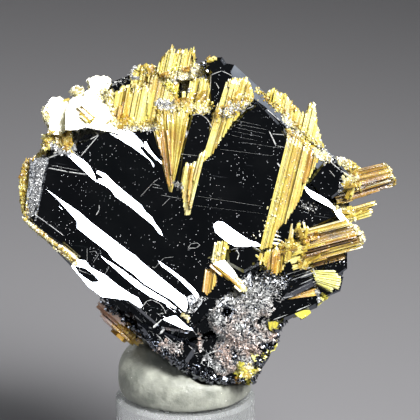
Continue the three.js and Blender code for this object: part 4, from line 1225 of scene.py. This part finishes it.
# Where the foot is scratched (px), how often, how far from that line (px) and in what directions (degrees)
SCRATCHED = pairs("122,306 168,342 215,366")
SCRATCHES = 150
SCRATCH_STRAY = (14, 8)
SCRATCH_ANGLES = (FALLING, FALLING, SHALLOW, STEEP)
AIM_LEVEL = 3  # w at which the pixels of scratches and of loose pieces are placed


def ends_of(x, y, angle, half):
    """The ends of a line through a pixel, half a length to each side."""
    right, up = heading(angle)
    return (x - half * right, y + half * up), (x + half * right, y - half * up)


def make_steps():
    rng = random.Random(31)
    steps, lines = Solid(), Solid()
    for (count, length), (start, end) in FRAYED:
        for _ in range(count):
            share = rng.random()
            x, y = (lerp(a, b, share) + rng.gauss(0, 0.9) for a, b in zip(start, end))
            place, _ = on_surface(*seen(x, y, PLATE_LEVEL).xy, HEMATITE_TREE)
            if place:
                half = length * rng.uniform(0.3, 1.0) / 2 / MM_PER_PX
                splinter(steps, *ends_of(x, y, FALLING, half), rng.uniform(0.01, 0.03), place.z)
    for (width, level), line in LINES:
        for a, b in zip(line, line[1:]):
            middle = seen(lerp(a[0], b[0], 0.5), lerp(a[1], b[1], 0.5), level)
            place, _ = on_surface(*middle.xy, FRONT_TREE)
            bead(lines, a, b, width * MM_PER_PX, place.z if place else level)
    for _ in range(SCRATCHES):
        x, y = along_line(SCRATCHED, rng.random())
        x, y = x + rng.gauss(0, SCRATCH_STRAY[0]), y + rng.gauss(0, SCRATCH_STRAY[1])
        place, normal = on_surface(*seen(x, y, AIM_LEVEL).xy, FRONT_TREE)
        if place and normal.z > 0.8:
            angle = rng.choice(SCRATCH_ANGLES) + rng.gauss(0, 9)
            ends = ends_of(x, y, angle, rng.uniform(0.5, 3))
            bead(lines, *ends, rng.uniform(0.4, 1.3) * MM_PER_PX, place.z)
    steps.finish("growth_steps", HEMATITE, "hematite")
    # The raised lines and scratches are near-white, which is partly painted highlight on the bright step
    # edges.
    lines.finish("growth_lines", ETCHED_AND_GLINT, "hematite")


make_steps()


# Loose blades, grains and rubble

# Tangles of short blades: radii (px), how many, longest (mm), directions (degrees): middle (px)
TANGLES = table("""
14 8 14 1.4 77 77 60 18: 288,252
12 6 9 1.3 18 30 77: 302,262
7 7 8 1.4 77 100 18: 300,234
6 8 12 1.4 18 40 77: 348,190
10 5 14 1 77 60 18: 124,124
14 8 20 1.1 77 90 60: 196,104
9 6 14 1.2 77 70 60: 236,104
7 5 14 1 77 20 120: 148,72
8 6 10 1.2 77 138 60: 64,142
7 7 12 1 138 77 18: 246,372
8 8 10 1.2 77 60 138: 266,262
8 6 14 1.2 18 30 10: 350,214
""")
# Grains along a line: piece, material, random seed, then rows of how far they stray (px), half of how many
# they are and their size (mm): the line (px)
GRAINS = [
    ("gold_grains", GOLD, 21, table("""
        4 110 0.28: 114,122 132,125 160,124
        6 130 0.26: 158,110 186,104 210,108
        5 80 0.3: 141,69 150,68
        7 50 0.22: 138,88 158,70
        5 60 0.34: 212,116 244,104
        5 90 0.5: 42,150 50,134
        5 60 0.5: 60,136 70,148
        3 40 0.4: 36,156 42,148
        4 160 0.34: 27,158 22,180 24,212
        2 90 0.3: 26,218 52,242 76,262
        4 120 0.26: 256,88 290,118 322,148
        3 50 0.3: 285,128 318,152
        4 60 0.36: 344,160 352,166 358,188
        4 30 0.3: 250,372 244,380
        5 50 0.36: 280,246 308,240
        3 40 0.36: 300,262 312,266
        3 20 0.24: 392,170 396,184
        2 30 0.44: 208,59 215,57
        3 30 0.4: 178,102 194,100
    """)),
    ("pale_grains", PALE, 23, table("""
        4 150 0.26: 112,118 118,126 132,128 160,126
        5 220 0.26: 160,106 186,106 208,110
        3.5 90 0.2: 161,76 190,71
        4 110 0.26: 176,80 197,72
        4 70 0.36: 101,97 110,93
        9 60 0.16: 262,240 300,150
        3 40 0.4: 44,108 48,128
        4 50 0.46: 72,90 82,92
        4 70 0.3: 101,92 110,108
        7 130 0.24: 224,112 248,100
        3 16 0.4: 196,66 202,74
        4 70 0.3: 285,118 300,134
        5 70 0.4: 316,150 326,158
        4 60 0.4: 340,158 352,166
        4 50 0.36: 346,182 358,178
        3 40 0.34: 355,226 364,240
        5 60 0.36: 340,206 352,216
        2 20 0.3: 182,314 188,318
        3 20 0.26: 212,258 224,250
        4 30 0.4: 246,376 250,370
        2 110 0.28: 27,220 52,243 78,265
    """)),
    ("silver_grains", SILVER, 22, table("""
        5 260 0.2: 42,156 38,184 31,216
        4 120 0.34: 50,142 58,150 72,152
        3 130 0.26: 72,150 76,136 86,131 100,132
        4 150 0.2: 116,126 156,129
        3 60 0.2: 172,82 188,78
        4 110 0.34: 158,103 172,107
        1.5 110 0.2: 138,78 132,78 130,72 134,67 139,69
        3 60 0.16: 175,184 183,188
        6 170 0.26: 222,114 245,104
        3 40 0.2: 184,84 190,92
        3 40 0.3: 196,62 203,76
        4 70 0.22: 283,116 296,132
        6 90 0.28: 318,146 330,158
        4 24 0.16: 302,205 314,209
        5 70 0.22: 162,344 180,350
        4 60 0.28: 158,350 168,358
        4 40 0.2: 170,362 200,374
        3 30 0.2: 344,180 340,196
        5 90 0.24: 268,276 284,284
        3 24 0.2: 186,312 204,296
        4 50 0.34: 268,334 280,342
        3 24 0.24: 200,336 200,350
        4 40 0.2: 206,356 216,366
        2 40 0.26: 316,284 320,304
        3 30 0.16: 106,84 130,78
    """)),
    ("amber_grains", AMBER, 24, table("""
        2 16 0.4: 178,100 182,104
        2 16 0.4: 190,100 194,104
        2 20 0.4: 184,71 191,70
        2 14 0.4: 162,75 168,75
        3 40 0.3: 114,118 128,118
        3 20 0.3: 308,238 318,234
        2 16 0.4: 236,378 241,384
        2 24 0.4: 120,328 140,342
    """)),
    ("dark_grains", HEMATITE, 25, table("""
        4 130 0.4: 102,302 130,326 160,350 186,368
        5 160 0.55: 160,352 186,368 215,381 243,384
        4 60 0.6: 284,322 278,340 264,352
        4 60 0.4: 196,56 204,64 207,78
        6 60 0.4: 255,268 290,284
        3 20 0.2: 324,262 346,262
        4 60 0.4: 262,356 254,384
    """)),
    ("yellow_grains", YELLOW, 26, table("""
        3 30 0.36: 278,342 264,358
        4 60 0.42: 238,366 247,376 254,372
        3 20 0.24: 170,68 178,68
        2 16 0.3: 322,296 328,299
        4 40 0.24: 165,84 176,92
    """)),
]
# Rubble on the back: piece, material, size (mm), how many on a line, how far they stray (mm), lines (mm)
BACK_RUBBLE = [
    ("back_rubble", HEMATITE, 0.55, 90, 0.5, table("""
        : 0.6,-3.4 2.2,-1.4 3.4,0.6
        : -1.8,-0.9 0.4,0.4
        : -9.5,-4.5 -4.5,-10
        : 6.5,8.5 10.5,4
        : 2,-12 7,-8.5
        : -10.5,5 -6,9.5
    """)),
    ("back_silver", DRUSE, 0.2, 150, 0.3, table("""
        : 0.9,-3 2.6,-0.6 2.8,1
        : -7.5,5.5 -1,8
        : -8,-3 -3,-8
        : 5,7 8.5,2.5
        : -6,1 -2,-5
        : 4,-4 8,-3
    """)),
    ("back_gold", GOLD, 0.34, 70, 0.35, table("""
        : 1,-3 2,-1.8
        : -1.4,-0.8 -0.4,0.2
        : 2.6,0 3.4,0.6
        : -8.6,6.4 -7,7.8
        : 6.4,-7.4 7.4,-6.2
    """)),
]


def near_line(line, stray, rng):
    place = along_line(line, rng.random())
    return [part + rng.gauss(0, stray) for part in place]


def make_tangles():
    rng = random.Random(51)
    solid = Solid()
    for (wide, high, count, longest, *angles), ((x, y),) in TANGLES:
        for _ in range(count):
            spot = seen(x + rng.gauss(0, wide / 2), y + rng.gauss(0, high / 2), AIM_LEVEL)
            place, _ = on_surface(spot.x, spot.y, FRONT_TREE)
            if not place:
                continue
            lean = Vector((*heading(rng.choice(angles) + rng.gauss(0, 7)), rng.uniform(-0.1, 0.35)))
            half = lean * longest * rng.uniform(0.2, 0.5)
            width = rng.uniform(0.2, 0.42)
            ends = (place - half * 0.6, place + half * 1.4)
            needle(solid, *ends, width, width * rng.uniform(0.5, 0.9), rng, rng.uniform(0.2, 1.0), 1.0)
    solid.finish("rutile_tangles", GOLD, "rutile")


def make_grains():
    for name, material, seed, rows in GRAINS:
        rng = random.Random(seed)
        solid = Solid()
        for (stray, count, size), line in rows:
            for _ in range(2 * count):
                spot = seen(*near_line(line, stray / 2, rng), AIM_LEVEL)
                place, _ = on_surface(spot.x, spot.y, FRONT_TREE)
                if place:
                    place.z += 0.03
                    crystal(solid, place, size * rng.uniform(0.25, 0.6), rng, rng.random())
        solid.finish(name, material, slot_of(material))


def make_back_rubble():
    rng = random.Random(61)
    for name, material, size, count, stray, rows in BACK_RUBBLE:
        solid = Solid()
        for _, line in rows:
            for _ in range(count):
                place, normal = on_surface(*near_line(line, stray, rng), HEMATITE_TREE, -1)
                if place and normal.z < -0.5:
                    crystal(solid, place, size * rng.uniform(0.25, 0.6), rng, rng.random())
        solid.finish(name, material, slot_of(material))


make_tangles()
make_grains()
make_back_rubble()


# Tack and rod

TACK_VOXEL = 0.22 * MM
TACK_SMOOTHING = 24
DENT_RANGE = (0.02, 0.25)  # how deep the tack's dents are (mm)


def make_tack():
    """The putty: the CAD body remeshed, smoothed and gently dented, and nowhere larger than it."""
    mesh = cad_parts["mineral_tack"].data.copy()
    mesh.materials.clear()
    piece = put_in_scene("tack_blob", mesh)
    remesh = piece.modifiers.new("remesh", "REMESH")
    remesh.mode = "VOXEL"
    remesh.voxel_size = TACK_VOXEL
    smooth = piece.modifiers.new("smooth", "SMOOTH")
    smooth.iterations = TACK_SMOOTHING
    shape = bpy.data.meshes.new_from_object(piece.evaluated_get(bpy.context.evaluated_depsgraph_get()))
    piece.modifiers.clear()
    piece.data = shape
    dents = []
    for vertex in shape.vertices:
        place = FROM_WORLD @ vertex.co
        dent = 0.10 + 0.10 * noise.fractal(place * 0.45, 1.0, 2.0, 3) + 0.02 * noise.noise(place * 2.5)
        dents.append(vertex.co - vertex.normal * min(max(dent, DENT_RANGE[0]), DENT_RANGE[1]) * MM)
    for vertex, place in zip(shape.vertices, dents):
        vertex.co = place
    shape.materials.append(tack_material())
    shape.shade_smooth()
    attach(piece, "root")
    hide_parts("mineral_tack")


make_tack()

for name, material in (("hematite_crystal", HEMATITE), ("display_rod", rod_material())):
    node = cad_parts[name]
    node.data.materials.clear()
    node.data.materials.append(material)
